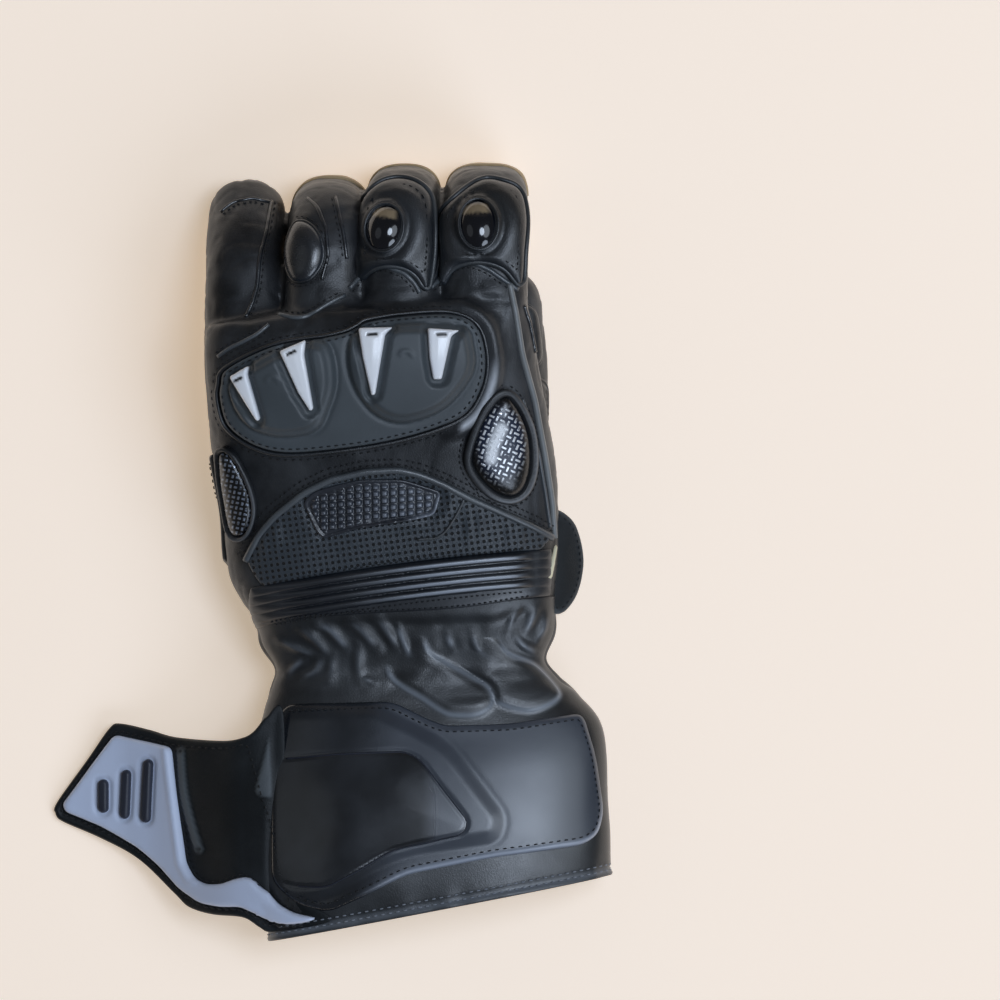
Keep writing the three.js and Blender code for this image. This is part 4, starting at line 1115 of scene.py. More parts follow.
tanTipsAndReflection = dict(index=(7.6, 0.4), middle=(3.6, 2.2), ring=(3.6, 2.8))  # tan tip leather: how far each comes up, right and left, is set so it also paints the warm reflection along the tips, most on the index's right


def ellipsoid(centre, axes, rows=26, count=56):
    tilt = np.linspace(-math.pi / 2, math.pi / 2, rows + 2)[1:-1]
    a = np.linspace(0, 2 * math.pi, count, endpoint=False)
    t, a = [g.ravel() for g in np.meshgrid(tilt, a, indexing="ij")]
    high = np.where(t < 0, 0.25, 1) * np.sin(t)  # its hidden underside is nearly flat
    ball = np.column_stack([np.cos(t) * np.cos(a), np.cos(t) * np.sin(a), high])
    ball = np.vstack([ball, (0, 0, -0.25), (0, 0, 1)])
    return centre + ball @ np.array(axes), closedRings(rows, count), ball


def domeMesh(skin, x, y, rx, ry, lean):  # an egg that stands out of the hood, square to the finger's back
    spot = skin.fromPlan([(x, y)], hoodLook["height"])
    n = skin.normal(spot)[0]
    ahead = unit(np.array([0, 1, 0]) - n * n[1])
    side = np.cross(ahead, n)
    turn = math.radians(lean)
    grow = 1 / math.sqrt(1 - (hoodLook["sink"] / hoodLook["rise"]) ** 2)
    across = (side * math.cos(turn) - ahead * math.sin(turn)) * rx * grow
    along = (side * math.sin(turn) + ahead * math.cos(turn)) * ry * grow
    centre = skin.at(spot)[0] + n * (hoodLook["height"] - hoodLook["sink"])
    verts, faces, ball = ellipsoid(centre, (across, along, n * hoodLook["rise"]))
    far, aside = ball[:, 1] * grow, np.abs(ball[:, 0] + ball[:, 1] * 0.25) * grow
    band = smooth(far, 0.38, 0.48) * smooth(far, 0.95, 0.8) * smooth(aside, 0.9, 0.6) * (ball[:, 2] > 0)
    return verts, faces, {"band": band}  # a tan crescent near the far end: a painted reflection of the warm surroundings


def buildHoods():
    for name, hood in hoods.items():
        skin = fingerBack[name]
        x, y, rx, ry, lean = hood["cap"]
        hole = oval(x, y, rx, ry, lean)
        outline = curve(hood["outline"], 1)
        body = level(hoodLook["height"], hoodLook["edge"])

        def height(spot):
            d = -within(spot["plan"], hole)
            collar = (hoodLook["collar"] - hoodLook["height"]) * bell(d - 0.5, 1.1)
            swell = 0.7 * bell(d - 6.5, 2.6) - 0.5 * bell(d - 2.6, 0.8) - 1.6 * smooth(-d, 0.2, 1.6)
            soft = noise3(spot["base"] * (1, 0.6, 1), 5, 61) * 0.25
            front = smooth(spot["plan"][:, 1], y + ry, y + ry + 3)
            arcs = sum(bell(spot["edge"] - far, 0.5) for far in hoodLook["arcs"]) * 0.45 * front
            return body(spot) + collar + (swell + soft + arcs) * smooth(spot["edge"], 0.5, 2.5)

        made = patch(f"finger_hood_{name}", skin, outline, height, blackLeather, f"finger_pad_{name}",
                     spacing=0.8, lift=hoodLook["height"] - 0.8)
        verts, faces, band = domeMesh(skin, *hood["cap"])
        addPiece(f"knuckle_cap_{name}_dome", verts, faces, glossBlack, f"knuckle_cap_{name}", attributes=band)
        ring = oval(x, y, rx + 0.9, ry + 0.9, lean)
        cord(f"cap_collar_{name}", skin, ring, 0.55, blackLeather, lift=hoodLook["collar"] - 0.1, closed=True)
        cord(f"hood_roll_{name}", skin, outline, hoodLook["roll"], pipingLeather, lift=0.9, closed=True)
        stitch("dark", skin, inset(outline, 2.7), 2.1, hoodLook["height"] + 0.15, closed=True)


def buildTanTipsAndReflection():
    for name, (right, left) in tanTipsAndReflection.items():
        end, half = fingers[name].length, fingers[name].girth * 0.235
        far = end + 13
        loop = cornered([(-half, end - left), (half, end - right), (half * 0.9, far), (-half * 0.9, far)], 3)
        patch(f"finger_tan_tip_and_reflection_{name}", fingerBack[name], None, softLevel(0.55, 0.5, 5, 0.2, 63), tanLeather,
              domain=loop, spacing=0.9)


buildHoods()
buildTanTipsAndReflection()

ringPad = dict(height=2.9, rim=0.4, edge=4.5, outline=[
    (-11.5, 113.2), (-7.6, 112.4), (-4.2, 108.6), (-2.4, 103), (-3.4, 97.6), (-7.4, 93), (-12.4, 92.4),
    (-15.2, 97), (-15.6, 104), (-14, 110)])


def buildRingPad():
    outline = curve(ringPad["outline"], 1)

    def height(spot):
        crown = (ringPad["height"] - ringPad["rim"]) * domed(spot["edge"], ringPad["edge"])
        return ringPad["rim"] + crown + noise3(spot["base"], 4, 65) * 0.12

    skin = fingerBack["ring"]
    made = patch("ring_finger_pad", skin, outline, height, softLeather, "ring_pad", spacing=0.8, lift=1.0)
    cord("ring_pad_piping", skin, outline, 0.6, blackLeather, lift=0.3, closed=True)
    stitch("dark", skin, inset(outline, -1.5), 2.1, 0.25, closed=True, steep=0.5)


buildRingPad()
print("finger pads made")

# Seams over the hand and fingers: a cord, with stitches beside it
seams = table("name radius sides line", [
    ("little_base", 0.7, (1.5, -1.5), [(-38.6, 66.5), (-35, 69.2), (-31.2, 70.9), (-24.7, 74.3),
                                       (-21, 77.5)]),
    ("little_side", 0.75, (1.4,), [(-21.2, 121), (-21.9, 115), (-22.6, 109.5), (-24.6, 101.3), (-25.4, 91.2),
                                   (-27.2, 84.7), (-29.6, 79.5)]),
    ("little_tip", 0.6, (-1.3,), [(-38.5, 117), (-34.7, 120.4), (-27.8, 121.8), (-21.5, 120.6)]),
    ("ring_base", 0.8, (1.5,), [(-17.9, 81.2), (-13, 79.8), (-9.5, 79.8), (-5.5, 81.6), (-2, 84), (1.5, 85.9),
                                (4.9, 87.6)]),
    ("ring_side", 0.65, (-1.3,), [(1.5, 121.6), (3.0, 115), (4.5, 108.5), (5.6, 100)]),
    ("ring_panel", 0.6, (), [(-9.5, 122.5), (-4.5, 118), (-1.5, 110), (-0.8, 101), (-3, 93)]),
    ("middle_foot", 0.9, (-1.6,), [(6.4, 89.9), (9.5, 93.5), (13.3, 96.6), (18.5, 97.6), (24.5, 95.5),
                                   (28.5, 92.3), (30.6, 88.3)]),
    ("index_foot", 0.9, (-1.6,), [(34.3, 90.3), (37.8, 93.4), (42.6, 97.4), (47.8, 98.9), (53.6, 96.8),
                                  (59.5, 92.7), (64.2, 89.6)]),
    ("web_left", 0.8, (), [(33.9, 113), (34.3, 104), (33.9, 96), (32.3, 89)]),
    ("web_right", 0.8, (), [(38, 114), (37.6, 105), (36.8, 97), (34.2, 90)]),
    ("side", 1.2, (), [(61.4, 91.5), (63.3, 82.3), (65.7, 67.1), (69.9, 51.9), (73.6, 32), (76, 16.7),
                       (76.9, 4.3)]),
    ("side_inner", 0.7, (), [(65.8, 52), (68.6, 44), (71.4, 33), (73.8, 19), (75.4, 8)]),
    ("thumb_web", 0.8, (), [(66.4, 84), (68.6, 77), (70.6, 66), (73, 54)])])

seamFinish = dict.fromkeys(("side_inner", "middle_foot", "index_foot", "ring_base", "little_base"),
                           seamLeather)
seamFinish["side"] = seamHighlightLeather


def buildSeams():
    for row in seams:
        points, ups = onSkin(handTop, row["line"], 0.9)
        drops = np.flatnonzero(np.abs(np.diff(points[:, 2])) > 1.6) + 1  # it ends where the hand falls away
        run = max(np.split(np.arange(len(points)), drops), key=len)
        finish = seamFinish.get(row["name"], softLeather)
        addPiece(f"seam_{row['name']}", *tubeMesh(points[run], ups[run], row["radius"], 8), finish)
        for aside in row["sides"]:
            stitch("dark", handTop, row["line"], 2.2, 0.2, aside)


buildSeams()

# Perforated arch with its piping, the scoop and the pleats
archLook = dict(
    line=[(-29.5, -3.5), (-24.8, 5.4), (-19, 12), (-9, 19.8), (0, 24.2), (11.8, 26.9), (23.3, 27.6),
          (30.6, 25.9), (37.9, 23), (48.5, 17.4), (58.8, 12.9), (69.5, 8.1), (76.2, 4.4)],
    radius=1.25, panel=1.0, dents=[(-22.6, 4), (-18.8, 6), (47.5, 8), (51.4, 9.5), (61.5, 6.5), (65, 5.5)])
scoop = dict(
    outline=[(-9.8, 16.4), (-5, 20.3), (9.5, 24), (24.7, 24.2), (38.2, 20), (35.7, 12.2), (27.1, 10.2),
             (9.5, 7.4), (-2.6, 3.9), (-5, 6.2)],
    middle=(14, 15.5), lip=2.9, floor=1.1, knob=1.5, pitch=(3.0, 2.5), slope=0.08, spacing=0.42,
    seam=[(45.8, 17.6), (43.2, 12.4), (39.2, 6.2), (35.6, 4.2), (29.6, 3.8)])
pleats = dict(
    left=-28.6, right=77.0, high=-8.4, slope=0.165, bend=0.0007, ribs=4, first=1.7, pitch=3.15, half=1.45,
    height=0.7, rib=1.9, spacing=0.34,
    low=[(-28.6, -28.2), (-13.6, -24.4), (10, -22.4), (43, -20.4), (66, -17.2), (77.0, -15.8)])


def pleatRise(x):
    return pleats["slope"] * x - pleats["bend"] * x * x


def scoopKnobs(plan):  # 1 on the knobs in the scoop, 0 between them
    x, y = (plan - scoop["middle"]).T
    gaps = []
    for away, pitch in zip((x, y - scoop["slope"] * x), scoop["pitch"]):
        cell = away / pitch
        gaps.append((0.5 - np.abs(cell - np.floor(cell) - 0.5)) * pitch)
    return smooth(gaps[0], 0.25, 0.85) * smooth(gaps[1], 0.2, 0.75)


def scoopHighlight(spot):  # painted highlight: knob tops grow paler to the right, and the lip is bright at the lower right
    x, y = spot["plan"].T
    tops = scoopKnobs(spot["plan"]) ** 2 * smooth(spot["edge"], 1.5, 2.3) * (0.3 + 0.7 * smooth(x, 2, 34))
    return np.maximum(tops, smooth(x, 24, 33) * smooth(19 - y, -2, 3) * smooth(spot["edge"], 1.3, 0.8))


def scoopHeight(spot):
    edge, (x, y) = spot["edge"], spot["plan"].T
    knob = scoop["knob"] * scoopKnobs(spot["plan"]) * smooth(edge, 1.5, 2.3)
    lower = 0.25 + 0.75 * smooth(13.5 + 0.08 * x - y, -3, 3)  # the lip stands up on the lower side
    lip = domed(edge, 0.45) * (1 - smooth(edge, 0.7, 1.2)) * lower * (0.35 + 0.65 * smooth(x, 0, 24))
    return scoop["floor"] + (scoop["lip"] - scoop["floor"]) * lip + knob


def pleatRibs(spot):
    x, y = spot["plan"].T
    down = pleats["high"] + pleatRise(x) - y - pleats["first"]
    away = [np.abs(down - k * pleats["pitch"]) for k in range(pleats["ribs"])]
    return domed(pleats["half"] - np.minimum.reduce(away), pleats["half"])


def pleatHighlight(spot):  # painted highlight on the crests, to the right of the middle
    x = spot["plan"][:, 0]
    across = smooth(x, 4, 40) * smooth(x, pleats["right"] - 8, pleats["right"] - 18)
    return smooth(pleatRibs(spot), 0.86, 1.0) * across * 0.8


def pleatHeight(spot):
    x = spot["plan"][:, 0]
    left, right = pleats["left"], pleats["right"]
    side = smooth(x, left + 2, left + 26) * smooth(x, right - 6, right - 14)
    soft = noise3(spot["base"] * (0.3, 1, 1), 4, 71) * 0.12 * side
    rib = pleats["rib"] * pleatRibs(spot) * (0.15 + 0.85 * side)
    return pleats["height"] * domed(spot["edge"] + 0.2, 2.5) + rib + soft


def buildBackPanels():
    arch = curve(archLook["line"], 1.2, False)
    x = np.linspace(pleats["right"], pleats["left"], 24)
    topLine = np.column_stack([x, pleats["high"] + pleatRise(x)])
    lowLine = curve(pleats["low"], 4, False)
    holeLoop = curve(scoop["outline"], 1)
    flat = level(archLook["panel"], 0.8)

    def panelHeight(spot):
        x, y = spot["plan"].T
        around = within(spot["plan"], holeLoop)
        ridge = 0.9 * bell(around + 2.6, 0.6) * smooth(x, 20, 32)
        soft = noise3(spot["base"], 11, 73) * 0.35
        for dentX, dentY in archLook["dents"]:
            soft = soft + 0.8 * bell(x - dentX, 1.4) * bell(y - dentY, 5)
        return flat(spot) + ridge + (soft - 0.5 * smooth(around, -1, 0.5)) * smooth(spot["edge"], 0.5, 3)

    patch("perforated_arch", back, np.vstack([arch, topLine[1:-1] + (0, 0.2)]), panelHeight,
          perforatedLeather, "perforated_panel", spacing=1.1, lift=1)
    cord("scoop_seam", back, scoop["seam"], 0.5, pipingLeather, lift=archLook["panel"] + 0.1)
    cord("arch_piping", back, archLook["line"], archLook["radius"], seamLeather, "arc_piping", lift=0.7)
    for aside in (2.1, 3.9):
        stitch("dark", back, archLook["line"], 2.0, 0.3, aside)
    patch("vent_scoop_block", back, cornered(scoop["outline"], 2.2, 0.6), scoopHeight, scoopRubber,
          "vent_scoop", spacing=scoop["spacing"], floor=0.3, edgeRows=(0.2, 0.45), lift=2,
          marks={"wear_and_painted_light": scoopHighlight})
    patch("pleated_band", back, np.vstack([topLine, lowLine]), pleatHeight, ribLeather, "pleat_panel",
          spacing=pleats["spacing"], edgeRows=(0.3,), lift=2, marks={"wear_and_painted_light": pleatHighlight})
    inner = topLine[2:-2][::-1]
    for row, lift in ((inner + (0, 1.0), 1.2), (inner - (0, 13.75), 0.85), (lowLine[2:-2] + (0, 1.2), 0.7)):
        stitch("dark", back, row, 2.0, lift)


buildBackPanels()
print("back panels made")

# Sliders on both edges of the hand
# spark places each slider face's painted glints, and glow lines its painted highlight streak
sliders = dict(
    thumb_side_slider=dict(
        rim=2.8, height=3.9, swell=6.5, spark=(58.4, 36.5, 7.2, 11.2),
        glow=[(54.9, 31.6), (55.6, 36), (58.4, 42)],
        outline=[(60.9, 52.6), (67.1, 42.6), (68.6, 30.5), (66.4, 21.6), (61.3, 18.5), (54.3, 21.6),
                 (48.8, 29.5), (50.2, 38.1), (55, 48.1)]),
    edge_slider=dict(
        rim=1.7, height=3.2, swell=4, spark=(-33, 18, 12, 15), glow=[],
        outline=[(-38.2, 33.6), (-34, 31.6), (-28.9, 21.6), (-27.4, 12.9), (-30.2, 5.4), (-34.7, 6),
                 (-37.2, 17.4), (-38.4, 27.1)]))


def buildSliders():
    for name, slider in sliders.items():
        gem = back.fromPlan(curve(slider["outline"], 1), 1.5)
        rim, sparkX, sparkY = slider["rim"], *slider["spark"][:2]

        def rimHeight(spot):
            away = np.abs(within(spot["domain"], gem) + rim * 0.5)
            return 0.3 + 2.2 * domed(rim * 0.62 - away, rim * 0.5)

        # painted highlight along the rim, stronger towards the right
        def rimHighlight(spot):
            x, y = spot["plan"].T
            away = np.abs(within(spot["domain"], gem) + rim * 0.62)
            right = smooth(x + 0.35 * (sparkY - y), sparkX - 2, sparkX + 8)
            return bell(away, rim * 0.16) * (0.04 + 0.3 * right)

        def gemHeight(spot):
            return 0.9 + (slider["height"] - 0.9) * domed(spot["edge"], slider["swell"])

        # painted glints: where the bright dashes gather
        def glint(spot):
            away = (spot["plan"] - slider["spark"][:2]) / slider["spark"][2:]
            return bell(np.linalg.norm(away, axis=1), 1)

        # painted highlight: a bright streak down the slider face
        def glow(spot):
            if not slider["glow"]:
                return np.zeros(len(spot["plan"]))
            return bell(toLine(spot["plan"], slider["glow"], False), 2.6)

        patch(f"{name}_cushion", back, None, rimHeight, rollLeather, f"{name}_rim", domain=inset(gem, -rim),
              spacing=0.7, lift=1.5, marks={"wear_and_painted_light": rimHighlight})
        patch(f"{name}_gloss", back, None, gemHeight, weaves[name], name, domain=gem, spacing=0.8, floor=0.2,
              lift=3, marks={"glint": glint, "glow": glow})
        if name == "thumb_side_slider":
            stitch("dark", back, None, 2.1, 0.3, closed=True, domain=inset(gem, -rim - 1.2), steep=0.55)


buildSliders()
print("sliders made")

# Moulded guard on the cuff
cuffGuard = dict(
    base=2.0, rise=1.0, groove=0.5, swell=0.5, spacing=0.8, edge=2.2,
    outline=[(-21.9, -60.6), (-17.1, -52.6), (20.9, -51.6), (33.6, -57.8), (39.2, -59.9), (61.6, -59.2),
             (87.6, -55.2), (92.4, -70.6), (95.4, -90.2), (93, -98.2), (87.4, -101.4), (54.7, -105.7),
             (26.4, -111.3), (12.2, -118.5), (-1.4, -124.6), (-11.3, -122.4), (-16.4, -119.2), (-21.9, -114)],
    outer=[(-40, -56), (-10, -54), (14, -53.5), (20, -56), (40, -66), (59.5, -91.5), (57.5, -99.5),
           (26, -104), (12, -110), (2, -117), (-8, -121), (-40, -122)],
    inner=[(-40, -70.5), (-20, -71.4), (2.9, -69.8), (25.4, -69), (30.5, -71.6), (47.2, -93), (45.6, -97.4),
           (20.9, -103), (9.5, -109.9), (-1.9, -115.8), (-14, -115.8), (-40, -108)])


def cuffGuardLevels(plan):
    return within(plan, cornered(cuffGuard["outer"], 7)), within(plan, cornered(cuffGuard["inner"], 3))


def cuffGuardHeight(spot):
    plan = spot["plan"]
    outer, inner = cuffGuardLevels(plan)
    flat = smooth(plan[:, 0], -24, 10)  # it thins towards the flap, and its bevels fade
    h = level(cuffGuard["base"], cuffGuard["edge"], 0.05)(spot) * (0.3 + 0.7 * flat)
    h += (cuffGuard["rise"] * smooth(outer, -1, 4.5) - 0.15 * bell(outer + 1.4, 1.2)) * flat
    h -= cuffGuard["groove"] * bell(inner, 0.5) * smooth(plan[:, 0], -19, -14)
    h += cuffGuard["swell"] * smooth(inner, 0, 16) * flat
    return h


def buildCuffGuard():
    outline = cornered(cuffGuard["outline"], 4, 1)

    def gloss_and_shade(spot):  # the inner field is glossier and darker, as is the part towards the flap: the darkening is painted shade, strongest at the flap
        x = spot["plan"][:, 0]
        field = smooth(cuffGuardLevels(spot["plan"])[1], -0.3, 0.5)
        return np.maximum(field * (0.15 + 0.8 * smooth(x, 39, 30)), smooth(x, 27, 8) * 0.85)

    def wear_and_painted_light(spot):  # painted highlight along the lower and right bevels
        x, y = spot["plan"].T
        low = smooth(y, -72 - 0.1 * x, -88 - 0.1 * x)
        return bell(spot["edge"] - 0.9, 0.95) * (0.1 + 0.9 * low) * smooth(x, 6, 34)

    patch("cuff_guard_shell", back, outline, cuffGuardHeight, cuffRubber, "cuff_guard",
          spacing=cuffGuard["spacing"], marks={"gloss_and_shade": gloss_and_shade, "wear_and_painted_light": wear_and_painted_light}, lift=2.5)
    domain = back.fromPlan(curve(cornered(cuffGuard["inner"][1:-1], 3)[:-1], 1, False), 4)
    base, n = back.at(domain), back.normal(domain)
    spot = dict(plan=(base + n * 2.5)[:, :2], base=base, edge=np.full(len(base), 9.0))
    line = base + n * (cuffGuardHeight(spot) + 0.12)[:, None]
    shows = (line[:, 0] > -16) & ((line[:, 1] > -80) | (line[:, 0] > -12.4))  # it ends where the flap begins
    addPiece("cuff_guard_line", *tubeMesh(line[shows], n[shows], 0.3, 6), barRubber, slot="cuff_gloss")
    row = inset(outline, 2.6)
    first = int(np.argmin(np.abs(row[:, 1] + 90) + 50 * (row[:, 0] > 0)))  # under the flap
    row = np.roll(row, -first, axis=0)
    stitch("dark", back, row[row[:, 0] > -15], 2.4, cuffGuard["base"] + 0.1, steep=0.3)


buildCuffGuard()
hemLines = dict(distances=(2.2, 4.2), pitch=2.4, reach=110)
for hem in hemLines["distances"]:
    around = np.arange(-hemLines["reach"], hemLines["reach"], 3.0)
    row = np.column_stack([around, np.full(len(around), hem)])
    stitch("grey", back, None, hemLines["pitch"], 0.6, domain=row, steep=0.3)
print("cuff guard made")

# Cuff flap, folded out to the left until it lies on the floor
flap = dict(
    thick=2.0, spacing=0.9, gap=0.1, blend=2.2, guardRise=2.4, guardEdge=1.5,
    barRadius=1.9, barTop=5.6, barFoot=3.9,
    slope=[(-100, 0.9), (-86, 2.6), (-72, 5.8), (-60, 11), (-50, 17.6), (-42, 24), (-34.5, 29.5), (-29, 32.2),
           (-24, 34)],
    outline=[(-16.5, -57), (-22.6, -57.6), (-24.8, -60), (-27, -62.6), (-30.4, -64.6), (-37.8, -65.9),
             (-54.3, -65), (-63.7, -62.6), (-74, -60.5), (-77.8, -61.9),
             (-85.4, -72.6), (-96.6, -88.3), (-97, -91.9), (-94.7, -94.7), (-80.9, -100.6), (-67.4, -107.8),
             (-54.3, -119.5), (-49.2, -124), (-41.2, -126.1), (-30.5, -126.8), (-24.7, -130.2), (-20, -131.6),
             (-1.2, -128), (-1.6, -125.1), (-9, -121.4), (-13.6, -117), (-16.5, -111)],
    guard=[(-75.7, -64.3), (-65, -66.4), (-54.7, -68.5), (-53.6, -78.1), (-51.6, -93.7), (-49.5, -108.5),
           (-46.4, -113.7), (-42.6, -115.7), (-37.1, -115.4), (-31.2, -113), (-27.4, -112.6), (-24.4, -115),
           (-18.6, -121), (-12.4, -124.6), (-4, -126.4), (-8.1, -127.9), (-14.7, -128.6), (-22.6, -126.8),
           (-30.5, -123), (-37.1, -123.3), (-44, -122.3), (-51.6, -117.5), (-58.5, -110.2), (-67.4, -103.3),
           (-80.9, -96.1), (-93.3, -91.3), (-94.2, -88.6)],
    rib=[(-51.2, -69.6), (-50, -84), (-47, -97), (-44.8, -103.6)],
    fin=[(-21.6, -64), (-20.4, -74), (-20.2, -84.6), (-23, -85.6), (-26.2, -83.2), (-24.4, -74)],
    bars=[(-79.2, -85.7, 5.9, 0), (-70.9, -85, 8.6, 3), (-63, -83.7, 11.1, 3)],
    hookPad=[(-88, -90), (-74, -70), (-60, -72), (-58, -98), (-76, -96)])


sleeveScan = dict(rows=300, chunk=4000, side=0.99, drop=60)


def sleeveTop(plan):  # height of the sleeve over the floor, falling off steeply past its sides
    chunk, square = sleeveScan["chunk"], sleeve.square
    row = throughRows(sleeve.rows, np.linspace(0, sleeve.last, sleeveScan["rows"]))
    best = np.empty(len(plan))
    for s in range(0, len(plan), chunk):
        away = plan[s:s + chunk, None, :] - row[None, :, :2]
        off = np.abs(-away[..., 0] * row[:, 4] + away[..., 1] * row[:, 3])
        k = off.argmin(1)
        pick = row[k]
        u = np.abs((away[np.arange(len(k)), k] * pick[:, 3:5]).sum(1)) / pick[:, 9]
        high = pick[:, 2] + pick[:, 10] * np.clip(1 - np.minimum(u, 1) ** square, 0, 1) ** (1 / square)
        best[s:s + chunk] = high - sleeveScan["drop"] * np.maximum(u - sleeveScan["side"], 0)
    return best


def flapHeight(plan):
    slopeX, slopeZ = zip(*flap["slope"])
    down = sum(np.interp(plan[:, 0] + shift, slopeX, slopeZ) for shift in (0, -3, -1.5, 1.5, 3)) / 5
    sunk = 2.4 * smooth(plan[:, 0], -23.5, -19.5) * smooth(plan[:, 1], -122, -116)  # under the guard
    over = sleeveTop(plan) + flap["gap"] - sunk
    return 0.5 * (down + over + np.sqrt((down - over) ** 2 + flap["blend"] ** 2))


def flapRaised(plan):  # how far each place lies on the rib beside the guard, and on the fin at the cuff
    line = curve(flap["rib"], 1, False)
    rib = smooth(toLine(plan, line, False), 1.8, 0.9) * smooth(toEnds(plan, line), 0, 1.5)
    return rib, smooth(within(plan, curve(flap["fin"], 1)), 0, 1.1)


def buildFlap():
    sheet = Sheet(flapHeight)
    outline = curve(flap["outline"], 1.2)
    guardLoop = cornered(flap["guard"], 2, 0.8)
    bars = [capsule(*bar, flap["barRadius"]) for bar in flap["bars"]]
    body = level(flap["thick"], 1.2)
    barHeight = level(flap["barTop"], 1.2, flap["barFoot"] / flap["barTop"])

    def skinHeight(spot):
        x, edge, base = spot["plan"][:, 0], spot["edge"], spot["base"]
        middle = smooth(x, -58, -46) * smooth(edge, 0, 4)
        soft = noise3(base * (1, 0.4, 1), 9, 91) * 0.7 * middle + noise3(base, 20, 92) * 0.5
        thin = 0.1 + 0.9 * smooth(x, -18, -34)
        rib, fin = flapRaised(spot["plan"])
        hem = 0.4 * bell(edge - 2.6, 0.7)
        return (body(spot) - hem) * thin + soft * smooth(edge, 0.5, 4) + 0.8 * rib + 0.5 * fin

    # painted highlights on the rib beside the guard and on the fin at the cuff
    def wear_and_painted_light(spot):
        rib, fin = flapRaised(spot["plan"])
        return np.maximum(rib * 0.75, fin * 0.6)

    def guardTop(spot):
        h = flap["thick"] + flap["guardRise"] * (0.2 + 0.8 * domed(spot["edge"], flap["guardEdge"]))
        for bar in bars:
            d = within(spot["plan"], bar)
            h -= 0.9 * bell(d + 0.3, 0.9) + 0.3 * smooth(d, 0, 1)
        return h + 0.5 * bell(toLine(spot["plan"], flap["guard"][2:7], False) - 1.4, 0.8)

    patch("flap_skin", sheet, outline, skinHeight, flapLeather, "closure_flap", spacing=flap["spacing"],
          floor=0, marks={"wear_and_painted_light": wear_and_painted_light})
    patch("flap_guard_shell", sheet, guardLoop, guardTop, greyRubber, "flap_guard", spacing=0.9, floor=1.4)
    for number, bar in enumerate(bars, 1):
        patch(f"flap_bar_{number}_slot", sheet, bar, barHeight, barRubber, f"flap_bar_{number}",
              spacing=0.45, floor=2.5, edgeRows=(0.2, 0.5))
    for row in (inset(outline, 2.6), inset(guardLoop, -1.0)):
        row = np.roll(row, -int(row[:, 0].argmax()), axis=0)
        row = row[(row[:, 0] < -28) | ((row[:, 1] < -119) & (row[:, 0] < -9))]
        stitch("dark", sheet, row, 2.4, flap["thick"] + 0.15)
    patch("flap_hook_fabric", Sheet(lambda plan: flapHeight(plan) - 1.2), cornered(flap["hookPad"], 3),
          lambda spot: np.full(len(spot["edge"]), 1.15), loopPile, "flap_hook_pad", spacing=2, floor=0)


buildFlap()
print("flap made")

# Tan palm, its grip, the black heel and the sliders
palmLook = dict(sliderHeight=2.0, rib=1.1, ribRadius=1.3)
palmPanels = table("name node height edge swell round finish spacing floor thread inset outline", [
    ("palm_tan", "palm_panel", 0.9, 0.8, (10, 0.3, 101), 4, tanLeather, 1.5, -0.6, ("pale", 2.3), 1.5,
     [(-38, 36), (-40.5, 60), (-40, 75), (-10, 79), (30, 82), (60, 83), (66, 62), (66, 47), (58, 37)]),
    ("palm_grip_patch", "palm_grip", 1.7, 0.9, (12, 0.3, 102), None, embossedGrip, 1.4, 0.2,
     ("dark", 2.2), 1.3,
     [(-16.4, 67.1), (9.2, 77.6), (19.8, 76.4), (35.2, 79), (45.4, 76.4), (54.6, 75.4), (49, 62), (41, 51.2),
      (35.2, 49.9), (30, 42), (25.7, 38), (-1.8, 37.5), (-10.2, 42), (-17.1, 55)]),
    ("heel_leather", "heel_panel", 1.5, 1.0, (9, 0.5, 103), None, blackLeather, 1.4, -0.6, ("dark", 2.3), 1.5,
     [(-38.6, 34.4), (-39.6, 12), (-35, -6), (-18, -17.6), (-9.8, -11.4), (0.4, -9.6), (10.3, -14.3),
      (21.3, -18.2), (32.3, -19.8), (41, -18.6), (48, -14), (60, -8), (60, 12), (57, 34.6), (30, 35.4)])])
palmSliders = dict(
    palm_slider_thumb=dict(outline=[(14, 25.5), (46.5, 31), (49, 18), (36, 4.5), (26, 2), (15.4, 7.6)],
                           ribs=(22.5, 28.5, 34.5), span=(9.5, 24)),
    palm_slider_edge=dict(outline=[(-35, 10), (-24, 19), (-7.4, 21.4), (-5.2, 13.6), (-14.6, 2), (-29, -1.5)],
                          ribs=(-25, -20, -15), span=(3.5, 16)))
fingerStrips = dict(first=12, reach=0.18, gripReach=0.165, height=0.9, gripHeight=1.7, gripBand=(19, 5),
                    quilt=(45, 21), quiltColumns=(-6.5, 0, 6.5), zigzag=1.3)


def buildPalm():
    for row in palmPanels:
        outline = cornered(row["outline"], row["round"]) if row["round"] else curve(row["outline"], 1)
        rise = softLevel(row["height"], row["edge"], *row["swell"])
        patch(row["name"], palm, outline, rise, row["finish"], row["node"], spacing=row["spacing"],
              floor=row["floor"])
        thread, pitch = row["thread"]
        stitch(thread, palm, inset(outline, row["inset"]), pitch, row["height"] + 0.1, closed=True)
    heel = palmPanels[-1]["height"]
    for name, slider in palmSliders.items():
        low, high = slider["span"]
        middle, half, radius = (low + high) / 2, (high - low) / 2, palmLook["ribRadius"]
        ribs = [capsule(x, middle, half, 0, radius) for x in slider["ribs"]]

        def height(spot):
            h = heel + palmLook["sliderHeight"] * (0.1 + 0.9 * domed(spot["edge"], 2.4))
            for rib in ribs:
                d = within(spot["plan"], rib)
                h += palmLook["rib"] * domed(d, 1.0) - 0.4 * bell(d + 0.7, 0.5)
            return h

        outline = cornered(slider["outline"], 3)
        patch(f"{name}_shell", palm, outline, height, sliderRubber, name, spacing=0.8, floor=0.8)
        stitch("dark", palm, inset(outline, -1.4), 2.2, heel + 0.1, closed=True)


